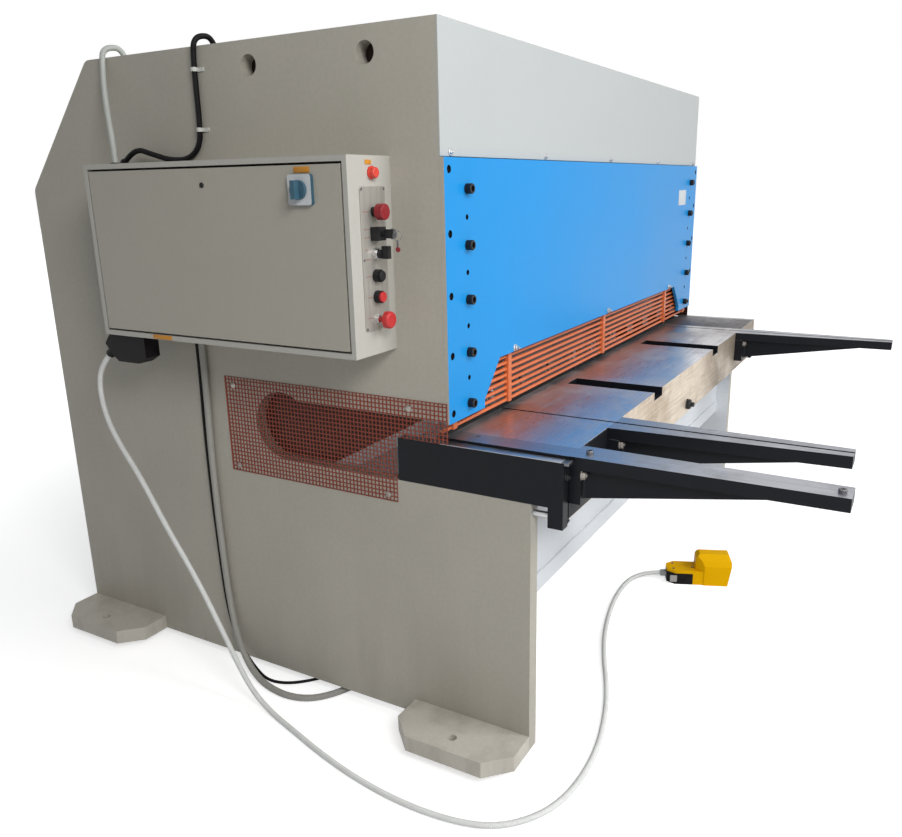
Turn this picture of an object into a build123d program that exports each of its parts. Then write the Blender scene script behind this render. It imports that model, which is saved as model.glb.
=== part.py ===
import os
from math import tan, radians

from build123d import *

os.makedirs("parts", exist_ok=True)

# A mechanical guillotine shear, in millimetres. X runs along the blades, Y to the
# rear and Z up. The sizes below are measured from the floor, from half way between
# the two side plates and from the plane of the front panel. Each finished sub-part
# is then moved so that the origin lies on the floor under the middle of the machine.

# Welded frame
frame_width = 2200.0        # over the outer faces of the side plates
frame_height = 1750.0       # side plate alone
plate_t = 40.0              # side plate thickness
pad_h = 30.0                # levelling pads under the plates
leg_front = -216.0          # front edge of the legs
frame_rear = 1457.0         # rear edge of the side plates
roof_rear = 1145.0          # where the sloped rear corner starts on top
slope_drop = 341.0          # height of the sloped rear corner
corner_r = 30.0             # rounding of the two rear corners
bed_seat = 711.0            # ledge that carries the bed
throat_h = 170.0            # straight part of the throat
throat_depth = 530.0        # centre of the throat's round end
throat_r = 95.0             # radius of the round end
lift_hole_d = 50.0
lift_hole_y = (200.0, 549.0)
lift_hole_drop = 58.0       # hole centres below the top edge
# Feet and pads
foot_out = 148.0            # reach of a foot beyond the plate
foot_len = 345.0
foot_t = 44.0
foot_chamfer = 62.0
foot_hole_d = 24.0
foot_hole_out = 96.0
pad_size = 110.0
# Front panel and cover
panel_t = 12.0
panel_bottom = 876.0
cover_h = 285.0             # upper cover, down from the top of the frame
cover_gap = 2.0
cover_flange = 60.0         # top flange of the cover, over the shaft
sheet_t = 3.0
window_in_low = 183.0       # trapezoid window for the finger guard, in from the plates
window_in_high = 270.0
window_step = 22.0          # short upright at the window's foot
window_h = 117.0
outer_hole_d = 18.0
outer_hole_in = 22.0
outer_hole_up = 23.0        # lowest outer hole above the panel's lower edge
outer_hole_down = 26.0      # highest outer hole below its upper edge
bolt_in = 102.0             # bolt column, in from the plate's outer face
bolt_up = 33.0
bolt_down = 69.0
small_hole_d = 13.0
# Finger guard
guard_bottom = 852.0
guard_pitch = 17.5
guard_bars = 9
guard_bar_h = 10.0
guard_bar_d = 8.0
guard_post_w = 20.0
guard_post_d = 14.0
guard_post_x = 745.0
# Table and bed
table_top = 832.0
table_t = 45.0
table_front = -296.0
table_rear = 36.0
skirt_low = 675.0
skirt_t = 40.0
bed_end_t = 30.0
bed_end_low = bed_seat
bed_end_top = 824.0
bed_end_rear = 153.0
lug_w = 38.0
lug_low = 660.0
slot_w = 80.0               # hand slots in the table's front edge
slot_rear = -18.0
slot_d = 25.0
slot_x = (-366.0, 360.0)    # centres of the hand slots
tee_w = 9.0
tee_d = 16.0
web_t = 32.0                # upright web of the bed, below the table's rear edge
web_low = 560.0
rib_t = 20.0
rib_pitch = 420.0
rib_rise = 20.0             # ribs' lower end above the web's
rib_nose = 60.0
rib_clear = 4.0             # ribs behind the closing plate
bed_clear = 1.0             # bed ends in front of the table's skirt
# Blades, ram and hold-down
guide_t = 10.0              # guides between the ram and the side plates
lower_blade_t = 30.0
lower_blade_h = 90.0
blade_gap = 0.3
upper_blade_t = 24.0
upper_blade_h = 90.0
blade_open = 26.0           # daylight over the table at the low end
rake = 1.4                  # degrees
beam_t = 60.0
beam_drop = 220.0           # top of the ram below the top of the side plates
hold_y = 36.0
hold_d = 24.0
hold_up = 73.0              # hold-down beam above the table
hold_h = 105.0
foot_count = 11
hold_foot_d = 20.0
# Support arms
arm_root_drop = 108.0       # web's depth at the table
arm_rail_t = 30.0
arm_web_t = 56.0
arm_taper_end = -765.0      # where the web runs out under the rail
arm_flange_t = 30.0
arm_flange_drop = 115.0
arm_corner = 8.0            # casting radius between web and flange
square_arm = dict(inset=34.0, root_w=88.0, tip_w=72.0, tip=-888.0)   # insets from the frame's side
mid_arm = dict(inset=345.0, root_w=112.0, tip_w=61.0, tip=-866.0)
right_arm = dict(inset=335.0, root_w=112.0, tip_w=61.0, tip=-866.0)
strip_inset = 32.0          # steel strip that carries the squaring arm back to the blade
strip_w = 65.0
# Lower closing plate, ties, slide and drive housing
apron_y = -160.0
apron_t = 6.0
apron_low = 401.0
apron_rim = 50.0
tie_y = 375.0
tie_t = 20.0
tie_z = (80.0, 380.0)
tube_y = 1100.0
tube_size = 150.0
tube_wall = 8.0
tube_low = 120.0
slide_t = 5.0
slide_top = 735.0           # head of the slide, close behind the lower blade
slide_gap = 2.0
slide_reach = 682.0         # run of the slide to the rear
slide_drop = 475.0
housing_front = 420.0
housing_low = 1000.0
housing_inset = 35.0
housing_t = 4.0
roof_drop = 90.0
roof_rim = 40.0
# Throat guards
mesh_t = 2.0
mesh_y = (5.0, 733.0)
mesh_below = 61.0           # below the bed's seat
mesh_above = 47.0           # above the throat
mesh_step_y = 158.0
# Electrical cabinet
cab_depth = 165.0
cab_front = 143.0
cab_l = 854.0
cab_h = 445.0
cab_drop = 281.0            # cabinet's top below the top of the side plates
cab_wall = 3.0
cab_rim = 13.0
door_gap = 5.0
door_t = 16.0
hinge_pin_d = 6.0
hinge_pin_l = 12.0
pin_clear = 0.05
ctrl_w = 96.0
ctrl_up = 58.0              # control plate above the cabinet's underside
ctrl_t = 2.0
ctrl_x_out = 77.0           # column of controls, out from the side plate
button_d = 29.0
stop_up = 24.0              # emergency stop above the plate's lower edge
button_step = dict(red=52.0, black=48.0, lever=49.0, key=45.0, reset=48.0)
plate_above = 55.0          # plate above the uppermost control on it
lamp_up = 29.0              # pilot lamp above the plate
switch_in = 125.0           # main switch behind the cabinet's front
switch_drop = 71.0          # and below its top
switch_size = 66.0
# Connector under the cabinet
plug_out = 120.0            # out from the side plate
plug_l = 127.0
plug_in = 2.0               # in from the cabinet's rear
plug_w = 60.0
gland_back = 51.0           # end of the gland behind the cabinet's rear
gland_drop = 68.0           # and below its underside
gland_d = 26.0
gland_l = 34.0
plug_flange = 6.0
plug_drop = (62.0, 80.0)    # front corner and flat underside, below the cabinet
# Places where cables leave the cabinet, enter the housing or are clipped
grommet_out = (13.0, 7.0)   # out from the side plate
grommet_in = (201.0, 175.0) # in from the cabinet's rear
black_exit_at = (40.0, 12.0, 8.0)   # out, in and above the cabinet's top
top_exit_at = (80.0, 22.0)
roof_gland_in = (55.0, 56.0)        # in from the frame's side
roof_gland_y = (697.0, 1036.0)
clip_y = (724.0, 723.0)
clip_drop = (200.0, 56.0)   # clips below the top of the frame
clip_x = 9.0                # cable centre off the side plate
box_in = (260.0, 300.0)     # where two cables enter the terminal box, in from the frame's side
box_y = 333.0
box_entry = 220.0
box_side = 30.0             # box beyond its entries
box_d = 75.0
box_h = 80.0
box_gland_h = 10.0
# Cables and conduits, outer diameters
foot_conduit_d = 16.0
motor_conduit_d = 20.0
sensor_cable_d = 9.0
black_cable_d = 14.0
top_conduit_d = 16.0
# Foot switch
pedal_rear = (70.0, -235.0)
pedal_turn = 22.0           # degrees off the machine's front-to-rear line
pedal_base_w = 85.0
pedal_base_l = 132.0
pedal_base_h = 43.0
pedal_cap_h = 10.0
pedal_corner = (28.0, 21.0) # cut rear corners, along and across
neck_l = 40.0
hood_w = 92.0
hood_start = 99.0           # rear wall of the hood, from the rear of the base
hood_end = 228.0
hood_h = 115.0
hood_wall = 4.0

half = frame_width / 2
inner = half - plate_t
blade_half = inner - guide_t
square_strip = (-half + strip_inset, -half + strip_inset + strip_w)
plate_low = pad_h
plate_top = pad_h + frame_height
beam_top = plate_top - beam_drop
cab_y = (cab_front, cab_front + cab_l)
cab_z = (plate_top - cab_drop - cab_h, plate_top - cab_drop)
throat_top = bed_seat + throat_h
mesh_z = (bed_seat - mesh_below, throat_top + mesh_above)
slope_low = plate_top - slope_drop
panel_top = plate_top - cover_h - cover_gap
window_half_low = half - window_in_low
window_half_high = half - window_in_high
window_top = panel_bottom + window_h
outer_hole_low = panel_bottom + outer_hole_up
outer_hole_pitch = (panel_top - outer_hole_down - outer_hole_low) / 4
bolt_low = panel_bottom + bolt_up
bolt_pitch = (panel_top - bolt_down - bolt_low) / 4
foot_y = ((leg_front, leg_front + foot_len), (frame_rear - foot_len, frame_rear))

# Middle of the machine's outline seen from above, without its cables
knob_reach = 34.0           # main switch knob beyond the cabinet door
middle_x = (half + foot_out - (half + cab_depth + knob_reach)) / 2
middle_y = (square_arm["tip"] + frame_rear) / 2


def finish(builder, label):
    """Name a finished sub-part, move it to the common origin and write its STEP file."""
    moved = builder.part.moved(Location((-middle_x, -middle_y, 0)))
    moved.label = label
    export_step(moved, f"parts/{label}.step")


def block(x, y, z, mode=Mode.ADD):
    """A rectangular block between two values of x, y and z."""
    with Locations(((x[0] + x[1]) / 2, (y[0] + y[1]) / 2, (z[0] + z[1]) / 2)):
        Box(x[1] - x[0], y[1] - y[0], z[1] - z[0], mode=mode)


# Side plates: one flame-cut slab each, with the deep throat and the lifting holes
def side_plate(low_x):
    with BuildPart() as plate:
        with BuildSketch(Plane.YZ.offset(low_x)) as outline:
            with BuildLine():
                Polyline(
                    (leg_front, plate_low), (frame_rear, plate_low), (frame_rear, slope_low),
                    (roof_rear, plate_top), (panel_t, plate_top), (panel_t, bed_seat),
                    (leg_front, bed_seat), close=True)
            make_face()
            fillet(outline.vertices().group_by(Axis.X)[-1].sort_by(Axis.Y)[-1], corner_r)
            fillet(outline.vertices().group_by(Axis.Y)[-1].sort_by(Axis.X)[-1], corner_r)
            with Locations(((panel_t + throat_depth) / 2, bed_seat + throat_h / 2)):
                Rectangle(throat_depth - panel_t, throat_h, mode=Mode.SUBTRACT)
            with Locations((throat_depth, bed_seat + throat_r)):
                Circle(throat_r, mode=Mode.SUBTRACT)
            with Locations(*[(y, plate_top - lift_hole_drop) for y in lift_hole_y]):
                Circle(lift_hole_d / 2, mode=Mode.SUBTRACT)
        extrude(amount=plate_t)
    return plate


side_plate_left = side_plate(-half)
side_plate_right = side_plate(inner)
finish(side_plate_left, "side_plate_left")
finish(side_plate_right, "side_plate_right")


# Feet: thick plates with cut corners, welded to the outer face of each side plate
def foot(side, y0, y1):
    reach = side * (half + foot_out)
    with BuildSketch(Plane.XY.offset(plate_low)) as plan:
        with BuildLine():
            Polyline(
                (side * half, y0), (reach - side * foot_chamfer, y0), (reach, y0 + foot_chamfer),
                (reach, y1 - foot_chamfer), (reach - side * foot_chamfer, y1), (side * half, y1),
                close=True)
        make_face()
        with Locations((side * (half + foot_hole_out), (y0 + y1) / 2)):
            Circle(foot_hole_d / 2, mode=Mode.SUBTRACT)
    extrude(plan.sketch, amount=foot_t)


with BuildPart() as feet_front:
    for side in (-1, 1):
        foot(side, *foot_y[0])
finish(feet_front, "feet_front")

with BuildPart() as feet_rear:
    for side in (-1, 1):
        foot(side, *foot_y[1])
finish(feet_rear, "feet_rear")

with BuildPart() as levelling_pads:
    for side in (-1, 1):
        for y0, y1 in foot_y:
            x_mid = side * (inner + pad_size / 2)
            y_mid = (y0 + y1) / 2
            block((x_mid - pad_size / 2, x_mid + pad_size / 2),
                  (y_mid - pad_size / 2, y_mid + pad_size / 2), (0, pad_h))
    edges_up = levelling_pads.edges().filter_by(Axis.Z)
    chamfer(edges_up, 10)
finish(levelling_pads, "levelling_pads")

# Front panel: bolted to the front edges of both side plates
with BuildPart() as front_panel:
    with BuildSketch(Plane.XZ):
        with Locations((0, (panel_bottom + panel_top) / 2)):
            Rectangle(frame_width, panel_top - panel_bottom)
        with BuildLine():
            Polyline(
                (-window_half_low, panel_bottom), (-window_half_low, panel_bottom + window_step),
                (-window_half_high, window_top), (window_half_high, window_top),
                (window_half_low, panel_bottom + window_step), (window_half_low, panel_bottom),
                close=True)
        make_face(mode=Mode.SUBTRACT)
        for side in (-1, 1):
            with Locations(*[(side * (half - outer_hole_in), outer_hole_low + i * outer_hole_pitch)
                             for i in range(5)]):
                Circle(outer_hole_d / 2, mode=Mode.SUBTRACT)
            with Locations(*[(side * (half - bolt_in), bolt_low + (i + 0.5) * bolt_pitch)
                             for i in range(4)]):
                Circle(small_hole_d / 2, mode=Mode.SUBTRACT)
    extrude(amount=-panel_t)
finish(front_panel, "front_panel")

# Upper cover: folded sheet over the crank shaft, flush with the plates' tops
with BuildPart() as upper_cover:
    block((-half, half), (panel_t - sheet_t, panel_t), (panel_top + cover_gap, plate_top))
    block((-inner, inner), (panel_t, panel_t + cover_flange), (plate_top - sheet_t, plate_top))
finish(upper_cover, "upper_cover")

# Roof sheet between the plates, with rims turned down
roof_top = plate_top - roof_drop
housing_rear = frame_rear - housing_inset
housing_break_y = roof_rear - 15
with BuildPart() as roof_sheet:
    block((-inner, inner), (panel_t + 4, housing_front), (roof_top - roof_rim, roof_top))
    block((-inner + sheet_t, inner - sheet_t), (panel_t + 4 + sheet_t, housing_front - sheet_t),
          (roof_top - roof_rim, roof_top - sheet_t), Mode.SUBTRACT)
finish(roof_sheet, "roof_sheet")

# Drive housing: folded sheet over the shaft and flywheel, closed by the side plates
with BuildPart() as drive_housing:
    with BuildSketch(Plane.YZ.offset(-inner)):
        with BuildLine():
            Polyline(
                (housing_front, housing_low), (housing_rear, housing_low),
                (housing_rear, slope_low - housing_inset / 2), (housing_break_y, roof_top),
                (housing_front, roof_top), close=True)
        make_face()
        offset(amount=-housing_t, mode=Mode.SUBTRACT)
    extrude(amount=2 * inner)
finish(drive_housing, "drive_housing")

# Ram: the beam that carries the upper blade, cut to the rake below
rise = 2 * blade_half * tan(radians(rake))
blade_low = table_top + blade_open
upper_front = table_rear + lower_blade_t + blade_gap
with BuildPart() as blade_beam:
    with BuildSketch(Plane.XZ.offset(-(upper_front + upper_blade_t))):
        with BuildLine():
            Polyline(
                (-blade_half, blade_low + 40), (blade_half, blade_low + 40 + rise),
                (blade_half, beam_top), (-blade_half, beam_top), close=True)
        make_face()
    extrude(amount=-beam_t)
finish(blade_beam, "blade_beam")

with BuildPart() as ram_guides:
    for side in (-1, 1):
        ends = sorted((side * blade_half, side * inner))
        block(ends, (upper_front + upper_blade_t, upper_front + upper_blade_t + beam_t),
              (throat_top + 70, beam_top))
finish(ram_guides, "ram_guides")

with BuildPart() as upper_blade:
    with BuildSketch(Plane.XZ.offset(-upper_front)):
        with BuildLine():
            Polyline(
                (-blade_half, blade_low), (blade_half, blade_low + rise),
                (blade_half, blade_low + rise + upper_blade_h),
                (-blade_half, blade_low + upper_blade_h), close=True)
        make_face()
    extrude(amount=-upper_blade_t)
finish(upper_blade, "upper_blade")

# Hold-down: a beam with round pressure feet just in front of the upper blade
hold_low = table_top + hold_up
with BuildPart() as hold_down:
    block((-inner, inner), (hold_y, hold_y + hold_d), (hold_low, hold_low + hold_h))
    with BuildSketch(Plane.XY.offset(blade_low)):
        with GridLocations(2 * (blade_half - 60) / (foot_count - 1), 1, foot_count, 1):
            with Locations((0, hold_y + hold_d / 2)):
                Circle(hold_foot_d / 2)
    extrude(amount=hold_low - blade_low)
finish(hold_down, "hold_down")

# Finger guard: bars and posts, with the lowest bar right across the machine
with BuildPart() as finger_guard:
    bar_y = panel_t + guard_post_d - guard_bar_d
    for i in range(guard_bars):
        reach = half if i == 0 else inner
        low = guard_bottom + i * guard_pitch
        block((-reach, reach), (bar_y, bar_y + guard_bar_d), (low, low + guard_bar_h))
    guard_top = guard_bottom + (guard_bars - 1) * guard_pitch + guard_bar_h
    for x in (-guard_post_x, 0, guard_post_x):
        block((x - guard_post_w / 2, x + guard_post_w / 2), (panel_t, panel_t + guard_post_d),
              (guard_bottom, guard_top))
    for side in (-1, 1):
        ends = sorted((side * inner, side * (inner - guard_post_w)))
        block(ends, (panel_t, panel_t + guard_post_d), (guard_bottom, guard_top))
finish(finger_guard, "finger_guard")

# Table: thick ground top with a deep front skirt, hand slots and tee slots
table_left = square_strip[1]
mid_arm_x = -half + mid_arm["inset"]
right_arm_x = half - right_arm["inset"]
with BuildPart() as table:
    block((table_left, half), (table_front, table_rear), (table_top - table_t, table_top))
    block((-half + lug_w, half - lug_w), (table_front, table_front + skirt_t),
          (skirt_low, table_top - table_t))
    for x in slot_x:
        block((x - slot_w / 2, x + slot_w / 2), (table_front, slot_rear),
              (table_top - slot_d, table_top), Mode.SUBTRACT)
    for x in (mid_arm_x, right_arm_x):
        block((x - tee_w / 2, x + tee_w / 2), (table_front, table_rear),
              (table_top - tee_d, table_top), Mode.SUBTRACT)
finish(table, "table")

# Bed: black weldment of two end plates on the ledges, a deep web and ribs
web_y = (table_rear - web_t, table_rear)
end_front = table_front - bed_clear
rib_front = apron_y + apron_t + rib_clear
rib_top = table_top - table_t
with BuildPart() as bed:
    for side in (-1, 1):
        outer = side * half
        near = side * (half - bed_end_t)
        top = bed_end_top if side < 0 else table_top - table_t
        with BuildSketch(Plane.YZ.offset(min(outer, near))):
            with BuildLine():
                Polyline(
                    (bed_end_rear, bed_end_low), (bed_end_rear, top), (end_front, top),
                    (end_front, lug_low), (end_front + lug_w, lug_low),
                    (end_front + lug_w, bed_end_low), close=True)
            make_face()
        extrude(amount=bed_end_t)
    block((-inner + 5, inner - 5), web_y, (web_low, rib_top))
    for side in (-1, 1):
        ends = sorted((side * (half - bed_end_t), side * (inner - 30)))
        block(ends, (table_front + skirt_t + bed_clear, web_y[0]), (bed_end_low, rib_top))
    for i in range(-2, 3):
        with BuildSketch(Plane.YZ.offset(i * rib_pitch - rib_t / 2)):
            with BuildLine():
                Polyline(
                    (web_y[0], web_low + rib_rise), (web_y[0], rib_top), (rib_front, rib_top),
                    (rib_front, rib_top - rib_nose), close=True)
            make_face()
        extrude(amount=rib_t)
finish(bed, "bed")

with BuildPart() as lower_blade:
    block((-blade_half, blade_half), (table_rear, table_rear + lower_blade_t),
          (table_top - lower_blade_h, table_top))
finish(lower_blade, "lower_blade")


# Support arms: castings with a flat rail, a tapered web below it and a flange on the skirt
def support_arm(left_root, left_tip, root_w, tip_w, tip):
    rail_low = table_top - arm_rail_t
    web_left = left_root + (root_w - arm_web_t) / 2
    with BuildPart() as casting:
        with BuildSketch(Plane.XY.offset(rail_low)):
            with BuildLine():
                Polyline(
                    (left_root, table_front), (left_root + root_w, table_front),
                    (left_tip + tip_w, tip), (left_tip, tip), close=True)
            make_face()
        extrude(amount=arm_rail_t)
        with BuildSketch(Plane.YZ.offset(web_left)):
            with BuildLine():
                Polyline(
                    (table_front, table_top - arm_root_drop), (table_front, rail_low),
                    (arm_taper_end, rail_low), close=True)
            make_face()
        extrude(amount=arm_web_t)
        block((left_root, left_root + root_w), (table_front - arm_flange_t, table_front),
              (table_top - arm_flange_drop, rail_low))
        flange_face = table_front - arm_flange_t
        corners = casting.edges().filter_by(Axis.Z).filter_by(
            lambda e: abs(e.center().Y - flange_face) < 0.01
            and abs(abs(e.center().X - web_left - arm_web_t / 2) - arm_web_t / 2) < 0.01)
        fillet(corners, arm_corner)
    return casting


with BuildPart() as squaring_arm:
    left = -half + square_arm["inset"]
    add(support_arm(left, left, square_arm["root_w"], square_arm["tip_w"], square_arm["tip"]).part)
    block(square_strip, (table_front, table_rear), (table_top - table_t, table_top))
finish(squaring_arm, "squaring_arm")


def slotted_arm(centre, arm):
    root_w, tip_w, tip = arm["root_w"], arm["tip_w"], arm["tip"]
    with BuildPart() as slotted:
        add(support_arm(centre - root_w / 2, centre - tip_w / 2, root_w, tip_w, tip).part)
        block((centre - tee_w / 2, centre + tee_w / 2), (tip, table_front),
              (table_top - tee_d, table_top), Mode.SUBTRACT)
    return slotted


finish(slotted_arm(mid_arm_x, mid_arm), "middle_arm")
finish(slotted_arm(right_arm_x, right_arm), "end_arm")

# Lower closing plate below the table, with a stiff rim along its lower edge
with BuildPart() as apron:
    block((-inner, inner), (apron_y, apron_y + apron_t), (apron_low, bed_end_low))
    block((-inner, inner), (apron_y - apron_t, apron_y), (apron_low, apron_low + apron_rim))
finish(apron, "apron")

with BuildPart() as tie_plate:
    block((-inner, inner), (tie_y, tie_y + tie_t), tie_z)
finish(tie_plate, "tie_plate")

with BuildPart() as rear_tube:
    block((-inner, inner), (tube_y, tube_y + tube_size), (tube_low, tube_low + tube_size))
    block((-inner, inner), (tube_y + tube_wall, tube_y + tube_size - tube_wall),
          (tube_low + tube_wall, tube_low + tube_size - tube_wall), Mode.SUBTRACT)
finish(rear_tube, "rear_tube")

# Slide behind the blades, down which the cut sheet runs
slide_front = table_rear + lower_blade_t + slide_gap
slide_rear = slide_front + slide_reach
slide_up = slide_t * 1.3    # sheet thickness measured upright
with BuildPart() as sheet_slide:
    with BuildSketch(Plane.YZ.offset(-inner)):
        with BuildLine():
            Polyline(
                (slide_front, slide_top), (slide_rear, slide_top - slide_drop),
                (slide_rear, slide_top - slide_drop - slide_up), (slide_front, slide_top - slide_up),
                close=True)
        make_face()
    extrude(amount=2 * inner)
finish(sheet_slide, "sheet_slide")


# Throat guards: square-mesh panels screwed over the throat on each outer face
def throat_guard(low_x):
    with BuildPart() as guard:
        with BuildSketch(Plane.YZ.offset(low_x)):
            with BuildLine():
                Polyline(
                    (mesh_step_y, mesh_z[0]), (mesh_y[1], mesh_z[0]), (mesh_y[1], mesh_z[1]),
                    (mesh_y[0], mesh_z[1]), (mesh_y[0], bed_end_top + 2),
                    (mesh_step_y, bed_end_top + 2), close=True)
            make_face()
        extrude(amount=mesh_t)
    return guard


finish(throat_guard(-half - mesh_t), "throat_guard_left")
finish(throat_guard(half), "throat_guard_right")

# Gap screws: they push the bed against the legs to set the blade clearance
with BuildPart() as gap_screws:
    screw_z = (lug_low + bed_end_low) / 2
    for side in (-1, 1):
        with BuildSketch(Plane.XZ.offset(-leg_front)):
            with Locations((side * (half - bed_end_t / 2), screw_z)):
                Circle(8)
        extrude(amount=end_front + lug_w - leg_front, dir=(0, 1, 0))
finish(gap_screws, "gap_screws")

# Electrical cabinet: a wall box laid on its long side, with its door in the outer face
cab_x = (-half - cab_depth, -half)
rim_x = (cab_x[0], cab_x[0] + door_t)
door_y = (cab_y[0] + cab_rim + door_gap, cab_y[1] - cab_rim - door_gap)
door_z = (cab_z[0] + cab_rim + door_gap, cab_z[1] - cab_rim - door_gap)
hinge_x = cab_x[0] + door_t / 2
hinge_z = door_z[0] + door_t / 2
with BuildPart() as cabinet_box:
    block(cab_x, cab_y, cab_z)
    block((cab_x[0] + door_t, cab_x[1] - cab_wall), (cab_y[0] + cab_wall, cab_y[1] - cab_wall),
          (cab_z[0] + cab_wall, cab_z[1] - cab_wall), Mode.SUBTRACT)
    block(rim_x, (cab_y[0] + cab_rim, cab_y[1] - cab_rim), (cab_z[0] + cab_rim, cab_z[1] - cab_rim),
          Mode.SUBTRACT)
    for start, way in ((cab_y[0] + cab_rim, -1), (cab_y[1] - cab_rim, 1)):
        with BuildSketch(Plane.XZ.offset(-start)):
            with Locations((hinge_x, hinge_z)):
                Circle(hinge_pin_d / 2)
        extrude(amount=way * (door_gap + hinge_pin_l))
finish(cabinet_box, "cabinet_box")

# Door: a folded pan with a bored block in each lower corner for the hinge pins
with BuildPart() as cabinet_door:
    block(rim_x, door_y, door_z)
    block((rim_x[0] + 2, rim_x[1]), (door_y[0] + 2, door_y[1] - 2), (door_z[0] + 2, door_z[1] - 2),
          Mode.SUBTRACT)
    for start, way in ((door_y[0], -1), (door_y[1], 1)):
        ends = sorted((start, start - way * 20))
        block(rim_x, ends, (door_z[0], door_z[0] + door_t))
        with BuildSketch(Plane.XZ.offset(-start)):
            with Locations((hinge_x, hinge_z)):
                Circle(hinge_pin_d / 2 + pin_clear)
        extrude(amount=way * (hinge_pin_l + 2), mode=Mode.SUBTRACT)
finish(cabinet_door, "cabinet_door")

with BuildPart() as component_plate:
    block((cab_x[1] - cab_wall - 2, cab_x[1] - cab_wall), (cab_y[0] + 40, cab_y[1] - 40),
          (cab_z[0] + 30, cab_z[1] - 30))
finish(component_plate, "component_plate")

# Main switch on the door: square plate and a turning knob with a grip bar
switch_x = rim_x[0]
switch_y = cab_y[0] + switch_in
switch_z = cab_z[1] - switch_drop
with BuildPart() as switch_plate:
    block((switch_x - 10, switch_x), (switch_y - switch_size / 2, switch_y + switch_size / 2),
          (switch_z - switch_size / 2, switch_z + switch_size / 2))
    fillet(switch_plate.edges().filter_by(Axis.X), 6)
finish(switch_plate, "switch_plate")

with BuildPart() as switch_knob:
    with BuildSketch(Plane.YZ.offset(switch_x - 10.3)):
        with Locations((switch_y, switch_z)):
            Circle(21)
    extrude(amount=-8)
    block((switch_x - knob_reach, switch_x - 18), (switch_y - 6, switch_y + 6), (switch_z - 20, switch_z + 20))
finish(switch_knob, "switch_knob")

# Control plate and its controls, on the end of the cabinet that faces the operator
ctrl_x = -half - ctrl_x_out
ctrl_face = cab_y[0] - ctrl_t
ctrl_low = cab_z[0] + ctrl_up
button_z = dict(stop=ctrl_low + stop_up)
for above, below in ("red", "stop"), ("black", "red"), ("lever", "black"), ("key", "lever"), ("reset", "key"):
    button_z[above] = button_z[below] + button_step[above]
ctrl_top = button_z["reset"] + plate_above
button_z["lamp"] = ctrl_top + lamp_up
with BuildPart() as control_plate:
    block((ctrl_x - ctrl_w / 2, ctrl_x + ctrl_w / 2), (ctrl_face, cab_y[0]),
          (ctrl_low, ctrl_top))
    fillet(control_plate.edges().filter_by(Axis.Y), 6)
finish(control_plate, "control_plate")


def on_column(diameter, z, back, front, mode=Mode.ADD):
    """A round boss on the control column, from y = back forward to y = front."""
    with BuildSketch(Plane.XZ.offset(-back)) as disc:
        with Locations((ctrl_x, z)):
            Circle(diameter / 2)
    extrude(disc.sketch, amount=back - front, mode=mode)


cap_d = button_d - 5
cap_clear = 0.3
cap_back = ctrl_face - 6
collar_front = ctrl_face - 14
with BuildPart() as control_collars:
    for name in ("lever", "black", "red"):
        on_column(button_d, button_z[name], ctrl_face, collar_front)
    for name in ("black", "red"):
        on_column(cap_d + 2 * cap_clear, button_z[name], ctrl_face, collar_front, Mode.SUBTRACT)
    for name in ("reset", "stop"):
        on_column(22, button_z[name], ctrl_face, ctrl_face - 8)
        on_column(12 + 2 * cap_clear, button_z[name], ctrl_face, ctrl_face - 8, Mode.SUBTRACT)
    block((ctrl_x - 15, ctrl_x + 15), (ctrl_face - 22, ctrl_face),
          (button_z["key"] - 15, button_z["key"] + 15))
finish(control_collars, "control_collars")


def push_cap(z):
    with BuildPart() as cap:
        on_column(cap_d, z, cap_back, collar_front - 6)
        fillet(cap.edges().filter_by(GeomType.CIRCLE).sort_by(Axis.Y)[0], 2)
    return cap


finish(push_cap(button_z["black"]), "black_button")
finish(push_cap(button_z["red"]), "red_button")

with BuildPart() as reset_button:
    on_column(12, button_z["reset"], cap_back, ctrl_face - 14)
    on_column(36, button_z["reset"], ctrl_face - 14, ctrl_face - 34)
    fillet(reset_button.edges().filter_by(GeomType.CIRCLE).sort_by(Axis.Y)[0], 3)
finish(reset_button, "reset_button")

with BuildPart() as stop_button:
    on_column(12, button_z["stop"], cap_back, ctrl_face - 24)
    on_column(40, button_z["stop"], ctrl_face - 24, ctrl_face - 40)
    fillet(stop_button.edges().filter_by(GeomType.CIRCLE).sort_by(Axis.Y)[0], 6)
finish(stop_button, "stop_button")

with BuildPart() as lever_switch:
    on_column(20, button_z["lever"], collar_front - 0.3, collar_front - 8)
    block((ctrl_x - 6, ctrl_x + 6), (collar_front - 26, collar_front - 8),
          (button_z["lever"] - 10, button_z["lever"] + 18))
finish(lever_switch, "lever_switch")

with BuildPart() as key_switch:
    on_column(12, button_z["key"], ctrl_face - 22.3, ctrl_face - 28)
    block((ctrl_x - 1.2, ctrl_x + 1.2), (ctrl_face - 52, ctrl_face - 28),
          (button_z["key"] - 10, button_z["key"] + 10))
finish(key_switch, "key_switch")

with BuildPart() as pilot_lamp:
    on_column(button_d, button_z["lamp"], cab_y[0], cab_y[0] - 4)
    on_column(24, button_z["lamp"], cab_y[0] - 4, cab_y[0] - 16)
    fillet(pilot_lamp.edges().filter_by(GeomType.CIRCLE).sort_by(Axis.Y)[0], 4)
finish(pilot_lamp, "pilot_lamp")

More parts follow.
